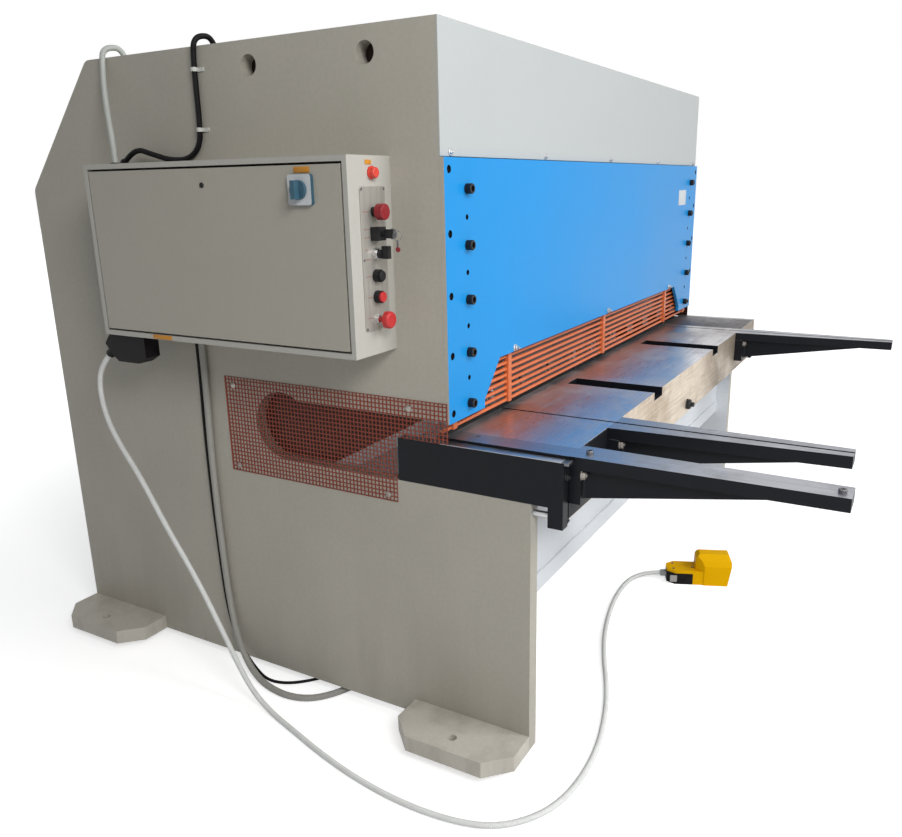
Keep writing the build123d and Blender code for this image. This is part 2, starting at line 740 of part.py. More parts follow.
# Multi-pole plug under the cabinet, with its gland aimed back and down
entry_way = Vector(0, 0.788, -0.616).normalized()
plug_x = -half - plug_out
plug_y = (cab_y[1] - plug_in - plug_l, cab_y[1] - plug_in)
entry_end = Vector(plug_x, cab_y[1] + gland_back, cab_z[0] - gland_drop)
gland_root = entry_end - gland_l * entry_way
across = 19 * Vector(0, entry_way.Z, -entry_way.Y)
face_low = gland_root + across
face_high = gland_root - across
with BuildPart() as power_plug:
    block((plug_x - plug_w / 2, plug_x + plug_w / 2), plug_y, (cab_z[0] - plug_flange, cab_z[0]))
    with BuildSketch(Plane.YZ.offset(plug_x - plug_w / 2 + 6)):
        with BuildLine():
            Polyline(
                (plug_y[0] + 4, cab_z[0] - plug_flange), (plug_y[0] + 4, cab_z[0] - plug_drop[0]),
                (plug_y[0] + 37, cab_z[0] - plug_drop[1]), (plug_y[1] - 10, cab_z[0] - plug_drop[1]),
                (face_low.Y, face_low.Z), (face_high.Y, face_high.Z),
                (plug_y[1] + 17, cab_z[0] - plug_flange), close=True)
        make_face()
    extrude(amount=plug_w - 12)
finish(power_plug, "power_plug")

with BuildPart() as plug_gland:
    with BuildSketch(Plane(origin=entry_end, z_dir=entry_way)):
        Circle(gland_d / 2)
    extrude(amount=-gland_l)
finish(plug_gland, "plug_gland")


# Cables and conduits: straight runs joined by arcs as large as the runs allow
def cable(label, points, diameter):
    """A round cable along hand-chosen points; prints its arcs and length."""
    corners = [Vector(p) for p in points]
    radii = []
    for before, here, after in zip(corners, corners[1:], corners[2:]):
        turn = (here - before).get_angle(after - here)
        shorter = min((here - before).length, (after - here).length)
        radii.append(0.45 * shorter / tan(radians(turn / 2)))
    with BuildPart() as tube:
        with BuildLine() as path:
            FilletPolyline(*corners, radius=radii)
        with BuildSketch(Plane(origin=corners[0], z_dir=corners[1] - corners[0])):
            Circle(diameter / 2)
        sweep(path=path.wire())
    length = path.wire().length
    ratio = tube.part.volume / (length * 3.14159265 * diameter ** 2 / 4)
    print(label, "length", round(length), "radii", [round(r) for r in radii],
          "least in diameters", round(min(radii) / diameter, 1), "volume ratio", round(ratio, 4))
    finish(tube, label)


floor_z = foot_conduit_d / 2 + 0.5
foot_conduit_points = (
    entry_end, entry_end + 66 * entry_way, (-1221, 1118, 870), (-1223, 1100, 785), (-1227, 1046, 705),
    (-1231, 975, 625), (-1236, 886, 490), (-1241, 775, 345), (-1246, 690, 205), (-1252, 628, 105),
    (-1259, 575, 45), (-1270, 500, floor_z), (-1300, 400, floor_z), (-1340, 272, floor_z),
    (-1374, 125, floor_z), (-1390, -18, floor_z), (-1384, -140, floor_z), (-1360, -230, floor_z),
    (-1311, -293, floor_z), (-1236, -340, floor_z), (-1135, -362, floor_z), (-990, -360, floor_z),
    (-835, -327, floor_z), (-700, -282, floor_z), (-560, -221, floor_z), (-408, -168, floor_z),
    (-211, -126, floor_z), (-60, -118, floor_z), (5, -134, 13), (45, -176, 22), (61, -216, 24))
cable("foot_switch_conduit", foot_conduit_points, foot_conduit_d)

motor_z = motor_conduit_d / 2 + 0.5
grommet_h = 5.0
motor_exit, sensor_exit = [
    (-half - out, cab_y[1] - back, cab_z[0] - grommet_h) for out, back in zip(grommet_out, grommet_in)]
motor_conduit_points = (
    motor_exit, (-1113, 796, 900), (-1112, 804, 700), (-1112, 803, 500),
    (-1112, 798, 330), (-1114, 788, 200), (-1124, 762, 105), (-1143, 712, 42),
    (-1162, 648, motor_z), (-1181, 582, motor_z), (-1187, 515, motor_z), (-1168, 452, motor_z),
    (-1120, 407, motor_z), (-1055, 376, motor_z), (-985, 352, motor_z), (-910, 337, 26),
    (-858, 333, 82), (-840, 333, 150), (-half + box_in[0], box_y, box_entry))
cable("motor_conduit", motor_conduit_points, motor_conduit_d)

sensor_z = sensor_cable_d / 2 + 0.5
sensor_cable_points = (
    sensor_exit, (-1107, 822, 930), (-1106, 827, 800), (-1106, 828, 670),
    (-1106, 827, 540), (-1106, 823, 420), (-1106.5, 818, 300), (-1107, 811, 200),
    (-1110, 790, 115), (-1118, 742, 50), (-1132, 685, 16), (-1147, 628, sensor_z),
    (-1133, 566, sensor_z), (-1086, 512, sensor_z), (-1024, 470, sensor_z),
    (-956, 436, sensor_z), (-890, 396, sensor_z), (-834, 356, 22), (-805, 336, 80),
    (-800, 333, 150), (-half + box_in[1], box_y, box_entry))
cable("sensor_cable", sensor_cable_points, sensor_cable_d)

black_exit = Vector(-half - black_exit_at[0], cab_y[1] - black_exit_at[1], cab_z[1] + black_exit_at[2])
black_way = Vector(0, -0.78, 0.626).normalized()
gland_h = 12.0
roof_gland = roof_top + gland_h
black_cable_points = (
    black_exit, black_exit + 56 * black_way, (-1130, 885, 1524), (-1120, 830, 1508), (-1114, 768, 1508),
    (-1109, 728, 1541), (-1109, 722, 1600), (-1109, 723, 1745), (-1109, 714, 1804),
    (-1045, 697, 1804), (-half + roof_gland_in[0], roof_gland_y[0], roof_gland))
cable("black_cable", black_cable_points, black_cable_d)

top_exit = (-half - top_exit_at[0], cab_y[1] - top_exit_at[1], cab_z[1] + grommet_h)
top_conduit_points = (
    top_exit, (-1180, 975, 1560), (-1158, 1008, 1620), (-1130, 1045, 1695), (-1112, 1062, 1752),
    (-1110, 1057, 1806), (-1044, 1036, 1806), (-half + roof_gland_in[1], roof_gland_y[1], roof_gland))
cable("top_conduit", top_conduit_points, top_conduit_d)

# Grommets where the cables leave the cabinet, and glands where they enter the housing
with BuildPart() as cable_grommets:
    for exit_at, diameter in (motor_exit, motor_conduit_d + 5), (sensor_exit, sensor_cable_d + 4.5):
        with BuildSketch(Plane.XY.offset(cab_z[0] - grommet_h)):
            with Locations(exit_at[:2]):
                Circle(diameter / 2)
        extrude(amount=grommet_h)
    with BuildSketch(Plane.XY.offset(cab_z[1])):
        with Locations(top_exit[:2]):
            Circle(top_conduit_d / 2 + 5)
    extrude(amount=grommet_h)
    with BuildSketch(Plane(origin=black_exit, z_dir=black_way)):
        Circle(black_cable_d / 2 + 4)
    extrude(amount=-24)
    block((black_exit.X - 30, black_exit.X + 30), (black_exit.Y - 25, black_exit.Y + 45),
          (cab_z[1] - 30, cab_z[1]), Mode.SUBTRACT)
finish(cable_grommets, "cable_grommets")

with BuildPart() as roof_glands:
    for inset, y in zip(roof_gland_in, roof_gland_y):
        with BuildSketch(Plane.XY.offset(roof_top)):
            with Locations((-half + inset, y)):
                RegularPolygon(14, 6)
        extrude(amount=gland_h)
finish(roof_glands, "roof_glands")

with BuildPart() as cable_clips:
    for y, drop in zip(clip_y, clip_drop):
        z = plate_top - drop
        with BuildSketch(Plane.XY.offset(z - 5)):
            with Locations((-half - clip_x, y)):
                Circle(black_cable_d / 2 + 2)
                Circle(black_cable_d / 2 + 1, mode=Mode.SUBTRACT)
        extrude(amount=10)
        block((-half - 3, -half), (y - 26, y - 6), (z - 5, z + 5))
finish(cable_clips, "cable_clips")

with BuildPart() as cable_box:
    box_low = box_entry + box_gland_h
    block((-half + box_in[0] - box_side, -half + box_in[1] + box_side), (tie_y - box_d, tie_y),
          (box_low, box_low + box_h))
    with BuildSketch(Plane.XY.offset(box_entry)):
        with Locations(*[(-half + inset, box_y) for inset in box_in]):
            Circle(motor_conduit_d / 2 + 2)
    extrude(amount=box_gland_h)
finish(cable_box, "cable_box")

# Foot switch on the floor: built in its own axes, long side towards the operator
pedal_dir = Vector(0, -1, 0).rotate(Axis.Z, pedal_turn)
pedal = Plane(origin=(pedal_rear[0], pedal_rear[1], 0), x_dir=pedal_dir, z_dir=(0, 0, 1))
pedal_side = Plane(origin=pedal.origin, x_dir=pedal.x_dir, z_dir=-pedal.y_dir)
foot_plate_w = pedal_base_w - 24
foot_plate_l = hood_end - 20 - (pedal_base_l - neck_l)
foot_plate_x = pedal_base_l - neck_l + foot_plate_l / 2


def pedal_outline(length, width, cut):
    with BuildLine() as edge:
        Polyline(
            (0, -width / 2 + cut[1]), (cut[0], -width / 2), (length, -width / 2),
            (length, width / 2), (cut[0], width / 2), (0, width / 2 - cut[1]), close=True)
    make_face(edge.edges())


def hood_form(wall, start):
    """The hood's form less a wall: a vault, cut to the side view and to the plan."""
    w = hood_w / 2 - wall
    top = hood_h - wall
    with BuildPart() as form:
        with BuildSketch(Plane(origin=pedal.from_local_coords((start, 0, 0)), x_dir=pedal.y_dir,
                               z_dir=pedal.x_dir)) as vault:
            with BuildLine():
                Polyline(
                    (w, 0), (w, top - 40), (w - 8, top - 20), (w - 26, top), (-w + 26, top),
                    (-w + 8, top - 20), (-w, top - 40), (-w, 0), close=True)
            make_face()
            fillet(vault.vertices().filter_by(lambda v: v.Z > 1), 7)
        extrude(amount=hood_end + 5 - start)
    return form


with BuildPart() as pedal_base:
    with BuildSketch(pedal):
        pedal_outline(pedal_base_l - neck_l, pedal_base_w, pedal_corner)
    extrude(amount=pedal_base_h)
    with BuildSketch(pedal):
        with Locations((foot_plate_x, 0)):
            Rectangle(foot_plate_l, foot_plate_w)
    extrude(amount=8)
finish(pedal_base, "pedal_base")

with BuildPart() as pedal_hood:
    add(hood_form(0, hood_start).part)
    with BuildSketch(pedal_side.offset(-hood_w)) as side_view:
        with BuildLine():
            Polyline(
                (hood_start, 0), (hood_start + 4, hood_h - 14), (hood_start + 16, hood_h),
                (hood_end - 9, hood_h), (hood_end, hood_h - 23), (hood_end, hood_h - 38),
                (hood_end - 12, 0), close=True)
        make_face()
        fillet(side_view.vertices().filter_by(lambda v: v.Z > 1), 4)
    extrude(amount=2 * hood_w, mode=Mode.INTERSECT)
    with BuildSketch(pedal):
        with BuildLine():
            Polyline(
                (hood_start, 20), (pedal_base_l, hood_w / 2), (hood_end, hood_w / 2),
                (hood_end, -hood_w / 2), (pedal_base_l, -hood_w / 2), (hood_start, -20), close=True)
        make_face()
    extrude(amount=hood_h, mode=Mode.INTERSECT)
    with BuildSketch(pedal.offset(pedal_base_h)):
        pedal_outline(pedal_base_l, pedal_base_w, pedal_corner)
    extrude(amount=pedal_cap_h)
    with BuildSketch(pedal):
        with Locations((pedal_base_l - neck_l / 2, 0)):
            Rectangle(neck_l, pedal_base_w)
    extrude(amount=pedal_base_h + pedal_cap_h)
    add(hood_form(hood_wall, pedal_base_l + hood_wall).part, mode=Mode.SUBTRACT)
    with BuildSketch(pedal):
        with Locations((foot_plate_x, 0)):
            Rectangle(foot_plate_l, foot_plate_w)
    extrude(amount=8, mode=Mode.SUBTRACT)
finish(pedal_hood, "pedal_hood")

with BuildPart() as treadle:
    with BuildSketch(pedal.offset(8)):
        with Locations((pedal_base_l + hood_wall + 34, 0)):
            Rectangle(60, 56)
    extrude(amount=14)
finish(treadle, "treadle")

with BuildPart() as pedal_gland:
    with BuildSketch(Plane(origin=(61, -216, 24), z_dir=(16, -40, 2))):
        Circle(12)
    extrude(until=Until.NEXT, target=pedal_base.part)
finish(pedal_gland, "pedal_gland")
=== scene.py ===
# %% [markdown]
# # Mechanical guillotine shear
# A guillotine shear cuts sheet metal between two long blades. This script takes the
# solid model made in CAD, which sets every size, and gives it the look of the real
# machine: paint, ground steel, moulded plastic, screws, square mesh and cables. A part
# that looks right already keeps its CAD mesh and only gets a material. Small things
# that a solid model leaves out are built here in mesh code.

# %% The CAD model and the machine's own coordinates
from math import cos, pi, radians, sin

import bmesh
import bpy
from mathutils import Matrix, Vector


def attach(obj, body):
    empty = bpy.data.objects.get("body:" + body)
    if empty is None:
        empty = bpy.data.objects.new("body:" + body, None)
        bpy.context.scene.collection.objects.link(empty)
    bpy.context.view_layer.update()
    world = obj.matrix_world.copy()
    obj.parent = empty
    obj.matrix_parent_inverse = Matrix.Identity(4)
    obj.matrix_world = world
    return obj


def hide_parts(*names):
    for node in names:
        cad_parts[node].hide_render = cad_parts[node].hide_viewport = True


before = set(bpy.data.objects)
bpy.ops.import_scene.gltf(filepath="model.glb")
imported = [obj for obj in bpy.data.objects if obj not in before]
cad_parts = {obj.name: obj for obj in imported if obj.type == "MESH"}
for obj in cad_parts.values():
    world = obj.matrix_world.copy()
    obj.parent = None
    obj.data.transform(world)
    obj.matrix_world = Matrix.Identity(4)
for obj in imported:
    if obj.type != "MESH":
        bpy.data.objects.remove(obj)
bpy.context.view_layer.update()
MIDDLE = Vector((-25.5, 284.5, 0.0))


def place(x, y, z):
    """A point on the machine in millimetres, as metres in the model's frame."""
    return (Vector((x, y, z)) - MIDDLE) / 1000


def add_object(name, data):
    """A new object in the scene that shows the given data."""
    made = bpy.data.objects.new(name, data)
    bpy.context.scene.collection.objects.link(made)
    return made


# %% [markdown]
# ## Camera
# The camera stands to the operator's left at about shoulder height. Its place, turn and
# lens were solved from the machine's long straight edges, so the picture lines up with
# the solid model. Positions from here on are written as on the machine: millimetres from
# the floor, from half way between the side plates, and from the front panel's plane.

# %% A camera from its turn vector
IMAGE_WIDTH, FOCAL_PIXELS, SENSOR_WIDTH = 902, 824.98, 36.0
EYE = (-2742.9, -973.4, 1434.3)
camera_data = bpy.data.cameras.new("camera")
camera = add_object("camera", camera_data)
bpy.context.scene.camera = camera
camera_data.sensor_width = SENSOR_WIDTH
camera_data.lens = FOCAL_PIXELS / IMAGE_WIDTH * SENSOR_WIDTH
camera_data.shift_x = -12.0 / IMAGE_WIDTH
camera_data.shift_y = 5.25 / IMAGE_WIDTH
camera_data.clip_start = 0.05
camera_data.clip_end = 60.0
turn = Vector((1.648, -0.977, 0.712))
to_view = Matrix.Rotation(turn.length, 3, turn.normalized())
right, down, ahead = to_view[0], to_view[1], to_view[2]
camera.matrix_world = Matrix.Translation(place(*EYE)) @ Matrix(
    ((right.x, -down.x, -ahead.x, 0), (right.y, -down.y, -ahead.y, 0),
     (right.z, -down.z, -ahead.z, 0), (0, 0, 0, 1)))
print("camera at", tuple(round(c, 3) for c in camera.matrix_world.translation))

# %% [markdown]
# ## Cables and conduits
# Five flexible runs leave the machine: the foot switch's conduit, the motor's, a thin
# sensor cable, a black cable over the cabinet and a short pale conduit behind it. Each
# follows one smooth NURBS curve through listed control points, because a stiff
# cable bends in long even curves. Points on the floor are half a diameter up.

# %% Diameter and control points of each route
ROUTES = {
    "foot_switch_conduit": (16.0, (
        (-1220, 1048, 986), (-1220, 1100, 945.3), (-1221, 1118, 870), (-1223, 1100, 785),
        (-1227, 1046, 705), (-1231, 975, 625), (-1236, 886, 490), (-1241, 775, 345),
        (-1246, 690, 205), (-1252, 628, 105), (-1259, 575, 45), (-1270, 500, 8.5),
        (-1300, 400, 8.5), (-1340, 272, 8.5), (-1374, 125, 8.5), (-1390, -18, 8.5),
        (-1384, -140, 8.5), (-1360, -230, 8.5), (-1311, -293, 8.5), (-1236, -340, 8.5),
        (-1135, -362, 8.5), (-990, -360, 8.5), (-835, -327, 8.5), (-700, -282, 8.5),
        (-560, -221, 8.5), (-408, -168, 8.5), (-211, -126, 8.5), (-60, -118, 8.5),
        (5, -134, 13), (45, -176, 22), (61, -216, 24))),
    "motor_conduit": (20.0, (
        (-1113, 796, 1049), (-1113, 796, 900), (-1112, 804, 700), (-1112, 803, 500),
        (-1112, 798, 330), (-1114, 788, 200), (-1124, 762, 105), (-1143, 712, 42),
        (-1162, 648, 10.5), (-1181, 582, 10.5), (-1187, 515, 10.5), (-1168, 452, 10.5),
        (-1120, 407, 10.5), (-1055, 376, 10.5), (-985, 352, 10.5), (-910, 337, 26),
        (-858, 333, 82), (-840, 333, 150), (-840, 333, 220))),
    "sensor_cable": (9.0, (
        (-1107, 822, 1049), (-1107, 822, 930), (-1106, 827, 800), (-1106, 828, 670),
        (-1106, 827, 540), (-1106, 823, 420), (-1106.5, 818, 300), (-1107, 811, 200),
        (-1110, 790, 115), (-1118, 742, 50), (-1132, 685, 16), (-1147, 628, 5),
        (-1133, 566, 5), (-1086, 512, 5), (-1024, 470, 5), (-956, 436, 5),
        (-890, 396, 5), (-834, 356, 22), (-805, 336, 80), (-800, 333, 150),
        (-800, 333, 220))),
    "black_cable": (14.0, (
        (-1140, 985, 1507), (-1140, 941.3, 1542), (-1130, 885, 1524), (-1120, 830, 1508),
        (-1114, 768, 1508), (-1109, 728, 1541), (-1109, 722, 1600), (-1109, 723, 1745),
        (-1109, 714, 1804), (-1045, 697, 1804), (-1045, 697, 1702))),
    "top_conduit": (16.0, (
        (-1180, 975, 1504), (-1180, 975, 1560), (-1158, 1008, 1620), (-1130, 1045, 1695),
        (-1112, 1062, 1752), (-1110, 1057, 1806), (-1044, 1036, 1806), (-1044, 1036, 1702))),
}


def route_curve(name):
    """The route of one cable as a smooth NURBS curve without thickness."""
    curve = bpy.data.curves.new(name + "_line", "CURVE")
    curve.dimensions = "3D"
    points = ROUTES[name][1]
    spline = curve.splines.new("NURBS")
    spline.points.add(len(points) - 1)
    for control, point in zip(spline.points, points):
        control.co = (*place(*point), 1.0)
    spline.order_u = 3
    spline.use_endpoint_u = True
    spline.resolution_u = 24
    return add_object(name + "_line", curve)


# %% [markdown]
# ### Tubes along the routes
# The two cables are smooth and the three conduits are corrugated, with a rib every few
# millimetres. A bump texture would leave the outline smooth, so the ribs are real: the
# curve is read back as points, stepped along evenly, and a ring of points is put round
# it at each step, wide on a rib and narrow between ribs. The rings are carried along
# without twisting.

# %% A tube along a curve, ribbed or smooth
def along_curve(curve_object, step):
    """The curve's own points, and points every step metres along it."""
    line = bpy.data.meshes.new_from_object(curve_object)
    points = [v.co.copy() for v in line.vertices]
    bpy.data.meshes.remove(line)
    total = sum((b - a).length for a, b in zip(points, points[1:]))
    count = round(total / step)
    wanted, out, walked, i = total / count, [points[0]], 0.0, 0
    for a, b in zip(points, points[1:]):
        run = (b - a).length
        while len(out) <= count and walked + run >= wanted * len(out) - 1e-9:
            out.append(a.lerp(b, (wanted * len(out) - walked) / run))
        walked += run
    return points, out


def ribbed_tube(name, pitch, depth, sides):
    """A mesh tube with four rings of points in each pitch, deepest at the groove."""
    curve_object = route_curve(name)
    line, centres = along_curve(curve_object, pitch / 4000)
    bpy.data.objects.remove(curve_object)
    radius, groove = ROUTES[name][0] / 2000, depth / 1000
    profile = (radius - groove, radius - 0.25 * groove, radius, radius - 0.25 * groove)
    points, faces = [], []
    ahead = (centres[1] - centres[0]).normalized()
    side = ahead.orthogonal().normalized()
    for i, centre in enumerate(centres):
        ahead = (centres[min(i + 1, len(centres) - 1)] - centres[max(i - 1, 0)]).normalized()
        side = (side - side.dot(ahead) * ahead).normalized()
        up = ahead.cross(side)
        for k in range(sides):
            angle = 2 * pi * k / sides
            points.append(centre + profile[i % 4] * (cos(angle) * side + sin(angle) * up))
    for i in range(len(centres) - 1):
        for k in range(sides):
            m = (k + 1) % sides
            faces.append((i * sides + k, i * sides + m, (i + 1) * sides + m, (i + 1) * sides + k))
    faces.append(tuple(reversed(range(sides))))
    faces.append(tuple(range((len(centres) - 1) * sides, len(centres) * sides)))
    mesh = bpy.data.meshes.new(name + "_line")
    mesh.from_pydata(points, [], faces)
    mesh.shade_smooth()
    return add_object(name + "_line", mesh), line


cords, paths = {}, {}
for name, pitch, depth, sides in (("foot_switch_conduit", 4.2, 1.5, 14), ("motor_conduit", 4.8, 1.7, 16),
                                  ("top_conduit", 4.2, 1.5, 14), ("sensor_cable", 20.0, 0.0, 14),
                                  ("black_cable", 14.0, 0.0, 18)):
    cords[name], paths[name] = ribbed_tube(name, pitch, depth, sides)
    print(name, "rings of", sides, "points:", len(cords[name].data.vertices) // sides)

# %% Declaring the cords
for name, piece in cords.items():
    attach(piece, "machine")
    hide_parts(name)
print("cords:", ", ".join(cords))

# %% [markdown]
# ## Helpers for materials
# Nothing here is painted from a picture. Each finish comes from noise textures that are
# stretched, cut and mixed. Effects that several materials share are node groups with
# named inputs and outputs; the Principled BSDF itself stays in each material.

# %% Small functions that make and link nodes
def new_group(name, given, made):
    """A new node group: its tree, the sockets that come in, and the node they go out by."""
    tree = bpy.data.node_groups.new(name, "ShaderNodeTree")
    for label, kind, value in given:
        socket = tree.interface.new_socket(label, in_out="INPUT", socket_type="NodeSocket" + kind)
        socket.default_value = value
    for label, kind in made:
        tree.interface.new_socket(label, in_out="OUTPUT", socket_type="NodeSocket" + kind)
    return tree, tree.nodes.new("NodeGroupInput").outputs, tree.nodes.new("NodeGroupOutput")


def node(tree, kind, **values):
    made = tree.nodes.new("ShaderNode" + kind)
    for key, value in values.items():
        if hasattr(made, key):
            setattr(made, key, value)
        else:
            made.inputs[key.replace("_", " ")].default_value = value
    return made


def feed(tree, socket, value):
    """Links an output to a socket, or writes a plain number or colour on it."""
    if isinstance(value, (int, float)):
        socket.default_value = value
    elif isinstance(value, tuple):
        socket.default_value = (*value, 1.0) if socket.type == "RGBA" and len(value) == 3 else value
    else:
        tree.links.new(value, socket)


def put_out(tree, result, **values):
    """Links each value to the group's output of the same name."""
    for label, value in values.items():
        tree.links.new(value, result.inputs[label])


# %% Functions for patterns and sums
def noise(tree, position, scale, detail=3.0, roughness=0.5):
    made = node(tree, "TexNoise", Scale=scale, Detail=detail, Roughness=roughness)
    tree.links.new(position, made.inputs["Vector"])
    return made.outputs["Fac"]


def stretched(tree, position, scale):
    """A position scaled along each axis, so that a pattern on it is drawn out or squeezed."""
    made = node(tree, "Mapping")
    tree.links.new(position, made.inputs["Vector"])
    feed(tree, made.inputs["Scale"], scale)
    return made.outputs["Vector"]


def split(tree, vector):
    """The outputs X, Y and Z of a vector."""
    made = node(tree, "SeparateXYZ")
    tree.links.new(vector, made.inputs[0])
    return made.outputs


def ramp(tree, value, low, high, start=0.0, end=1.0):
    """A value from start to end, turned into one from low to high and held there."""
    made = node(tree, "MapRange", clamp=True)
    for label, number in (("Value", value), ("From Min", start), ("From Max", end),
                          ("To Min", low), ("To Max", high)):
        feed(tree, made.inputs[label], number)
    return made.outputs["Result"]


def mix_colour(tree, factor, first, second, blend="MIX"):
    made = node(tree, "Mix", data_type="RGBA", blend_type=blend)
    for socket, value in ((made.inputs[0], factor), (made.inputs[6], first), (made.inputs[7], second)):
        feed(tree, socket, value)
    return made.outputs[2]


def maths(tree, operation, first, second):
    made = node(tree, "Math", operation=operation)
    feed(tree, made.inputs[0], first)
    feed(tree, made.inputs[1], second)
    return made.outputs[0]


def plus(tree, first, second):
    return maths(tree, "ADD", first, second)


def times(tree, first, second):
    return maths(tree, "MULTIPLY", first, second)


def bump(tree, height, strength, distance, normal):
    made = node(tree, "Bump", Distance=distance)
    for label, value in (("Height", height), ("Strength", strength), ("Normal", normal)):
        feed(tree, made.inputs[label], value)
    return made.outputs["Normal"]


def place_group(tree, group, **values):
    """A group placed in a tree with its own values; returns the sockets that come out."""
    made = tree.nodes.new("ShaderNodeGroup")
    made.node_tree = group
    for key, value in values.items():
        feed(tree, made.inputs[key.replace("_", " ")], value)
    return made.outputs


# %% [markdown]
# ### Soft edges
# No real edge is perfectly sharp: sheet is bent, plate is ground, castings are rounded.
# The solids have sharp corners, so the Bevel node bends the shading over the last
# millimetre or two. Where the bent normal leaves the true one there is an edge, and
# that mask shows later where paint has rubbed thin.

# %% Group: soft edges
def soft_edges():
    tree, given, result = new_group(
        "Soft edges", [("Radius", "Float", 0.0015)], [("Normal", "Vector"), ("Edge", "Float")])
    rounded = node(tree, "Bevel", samples=4)
    tree.links.new(given["Radius"], rounded.inputs["Radius"])
    apart = node(tree, "VectorMath", operation="DOT_PRODUCT")
    tree.links.new(rounded.outputs[0], apart.inputs[0])
    tree.links.new(node(tree, "NewGeometry").outputs["Normal"], apart.inputs[1])
    put_out(tree, result, Normal=rounded.outputs[0],
            Edge=ramp(tree, apart.outputs["Value"], 1.0, 0.0, 0.80, 0.985))
    return tree


SOFT = soft_edges()
print("soft edges:", len(SOFT.nodes), "nodes")

# %% [markdown]
# ### Machine paint
# The frame is sprayed over welded plate. Up close such paint has orange peel, a fine
# dimpled skin; from further off it is slightly cloudy, with dirt in streaks low down,
# small scuffs, and edges where darker metal shows through.

# %% Group: machine paint
SURFACE = [("Colour", "Color"), ("Roughness", "Float"), ("Normal", "Vector")]
GRIME_BROWN = (0.17, 0.14, 0.11)


def paint_group():
    tree, given, result = new_group("Machine paint", [
        ("Colour", "Color", (0.5, 0.5, 0.5, 1)), ("Bare", "Color", (0.20, 0.18, 0.16, 1)),
        ("Wear", "Float", 0.3), ("Peel", "Float", 0.25), ("Clouding", "Float", 0.10),
        ("Grime", "Float", 0.15), ("Roughness", "Float", 0.45)], SURFACE)
    at = node(tree, "TexCoord").outputs["Object"]
    soft = place_group(tree, SOFT, Radius=0.0014)
    clouds = ramp(tree, noise(tree, at, 2.6, 4.0), -0.5, 0.5, 0.3, 0.7)
    speckle = ramp(tree, noise(tree, at, 95.0, 2.0), -0.25, 0.25, 0.3, 0.7)
    shade = plus(tree, 1.0, times(tree, plus(tree, clouds, speckle), given["Clouding"]))
    grey = node(tree, "CombineColor")
    for channel in ("Red", "Green", "Blue"):
        tree.links.new(shade, grey.inputs[channel])
    toned = mix_colour(tree, 1.0, given["Colour"], grey.outputs[0], "MULTIPLY")
    runs = noise(tree, stretched(tree, at, (9.0, 9.0, 1.1)), 1.0, 5.0, 0.6)
    streaks = ramp(tree, runs, 0.0, 1.0, 0.45, 0.75)
    low = ramp(tree, split(tree, at)["Z"], 1.0, 0.0, 0.0, 0.45)
    dirt = times(tree, times(tree, streaks, plus(tree, low, 0.18)), given["Grime"])
    dirty = mix_colour(tree, dirt, toned, GRIME_BROWN)
    patchy = ramp(tree, noise(tree, at, 38.0, 4.0, 0.7), 0.0, 1.0, 0.50, 0.62)
    rubbed = times(tree, times(tree, soft["Edge"], patchy), given["Wear"])
    worn = mix_colour(tree, rubbed, dirty, given["Bare"])
    rough = plus(tree, given["Roughness"],
                 plus(tree, times(tree, clouds, 0.06), times(tree, dirt, 0.3)))
    dimples = bump(tree, noise(tree, at, 420.0, 2.0), given["Peel"], 0.0004, soft["Normal"])
    put_out(tree, result, Colour=worn, Roughness=rough, Normal=dimples)
    return tree


PAINT = paint_group()
print("machine paint:", len(PAINT.nodes), "nodes")

# %% [markdown]
# ### Worked steel
# The table and the arms are ground, which leaves fine lines one way, and oil and
# handling stain them in patches. Stretching a noise a hundredfold along one axis makes
# the lines, so each material says along which axis its own ones run. Toward its right
# end the table is darkened in brown patches as painted shade, so two inputs say from where, in metres,
# and how much.

# %% Group: worked steel
END_SHADE_BROWN, SCRATCH_GREY, EDGE_GREY = (0.15, 0.12, 0.09), (0.12, 0.12, 0.12), (0.80, 0.80, 0.80)
DARKENS_OVER = 0.35


def steel_group():
    tree, given, result = new_group("Worked steel", [
        ("Colour", "Color", (0.5, 0.5, 0.5, 1)), ("Tarnish", "Color", (0.25, 0.18, 0.12, 1)),
        ("Patches", "Float", 0.3), ("Lines", "Vector", (2.0, 240.0, 240.0)),
        ("Line depth", "Float", 0.25), ("Dark from", "Float", 0.0), ("Dark end", "Float", 0.0),
        ("Roughness", "Float", 0.3)], SURFACE)
    at = node(tree, "TexCoord").outputs["Object"]
    soft = place_group(tree, SOFT, Radius=0.0010)
    scratch = noise(tree, stretched(tree, at, given["Lines"]), 1.0, 4.0, 0.6)
    cloud = noise(tree, at, 3.4, 5.0, 0.6)
    spots = noise(tree, at, 26.0, 4.0, 0.65)
    patches = ramp(tree, plus(tree, cloud, times(tree, spots, 0.4)), 0.0, 1.0, 0.62, 0.86)
    stain = times(tree, patches, given["Patches"])
    stained = mix_colour(tree, stain, given["Colour"], given["Tarnish"])
    # Painted shade: toward its right end the steel is darkened in brown patches.
    beyond = maths(tree, "SUBTRACT", split(tree, at)["X"], given["Dark from"])
    toward_end = times(tree, ramp(tree, cloud, 0.55, 1.0, 0.35, 0.6),
                       ramp(tree, beyond, 0.0, 1.0, 0.0, DARKENS_OVER))
    darker = mix_colour(tree, times(tree, given["Dark end"], toward_end), stained, END_SHADE_BROWN)
    lined = mix_colour(tree, ramp(tree, scratch, 0.0, 0.35, 0.35, 0.75), darker, SCRATCH_GREY)
    bright = mix_colour(tree, times(tree, soft["Edge"], 0.45), lined, EDGE_GREY)
    rough = plus(tree, given["Roughness"],
                 plus(tree, times(tree, stain, 0.35), ramp(tree, scratch, -0.06, 0.10, 0.3, 0.7)))
    ground = bump(tree, scratch, given["Line depth"], 0.0003, soft["Normal"])
    put_out(tree, result, Colour=bright, Roughness=rough, Normal=ground)
    return tree


STEEL = steel_group()
print("worked steel:", len(STEEL.nodes), "nodes")

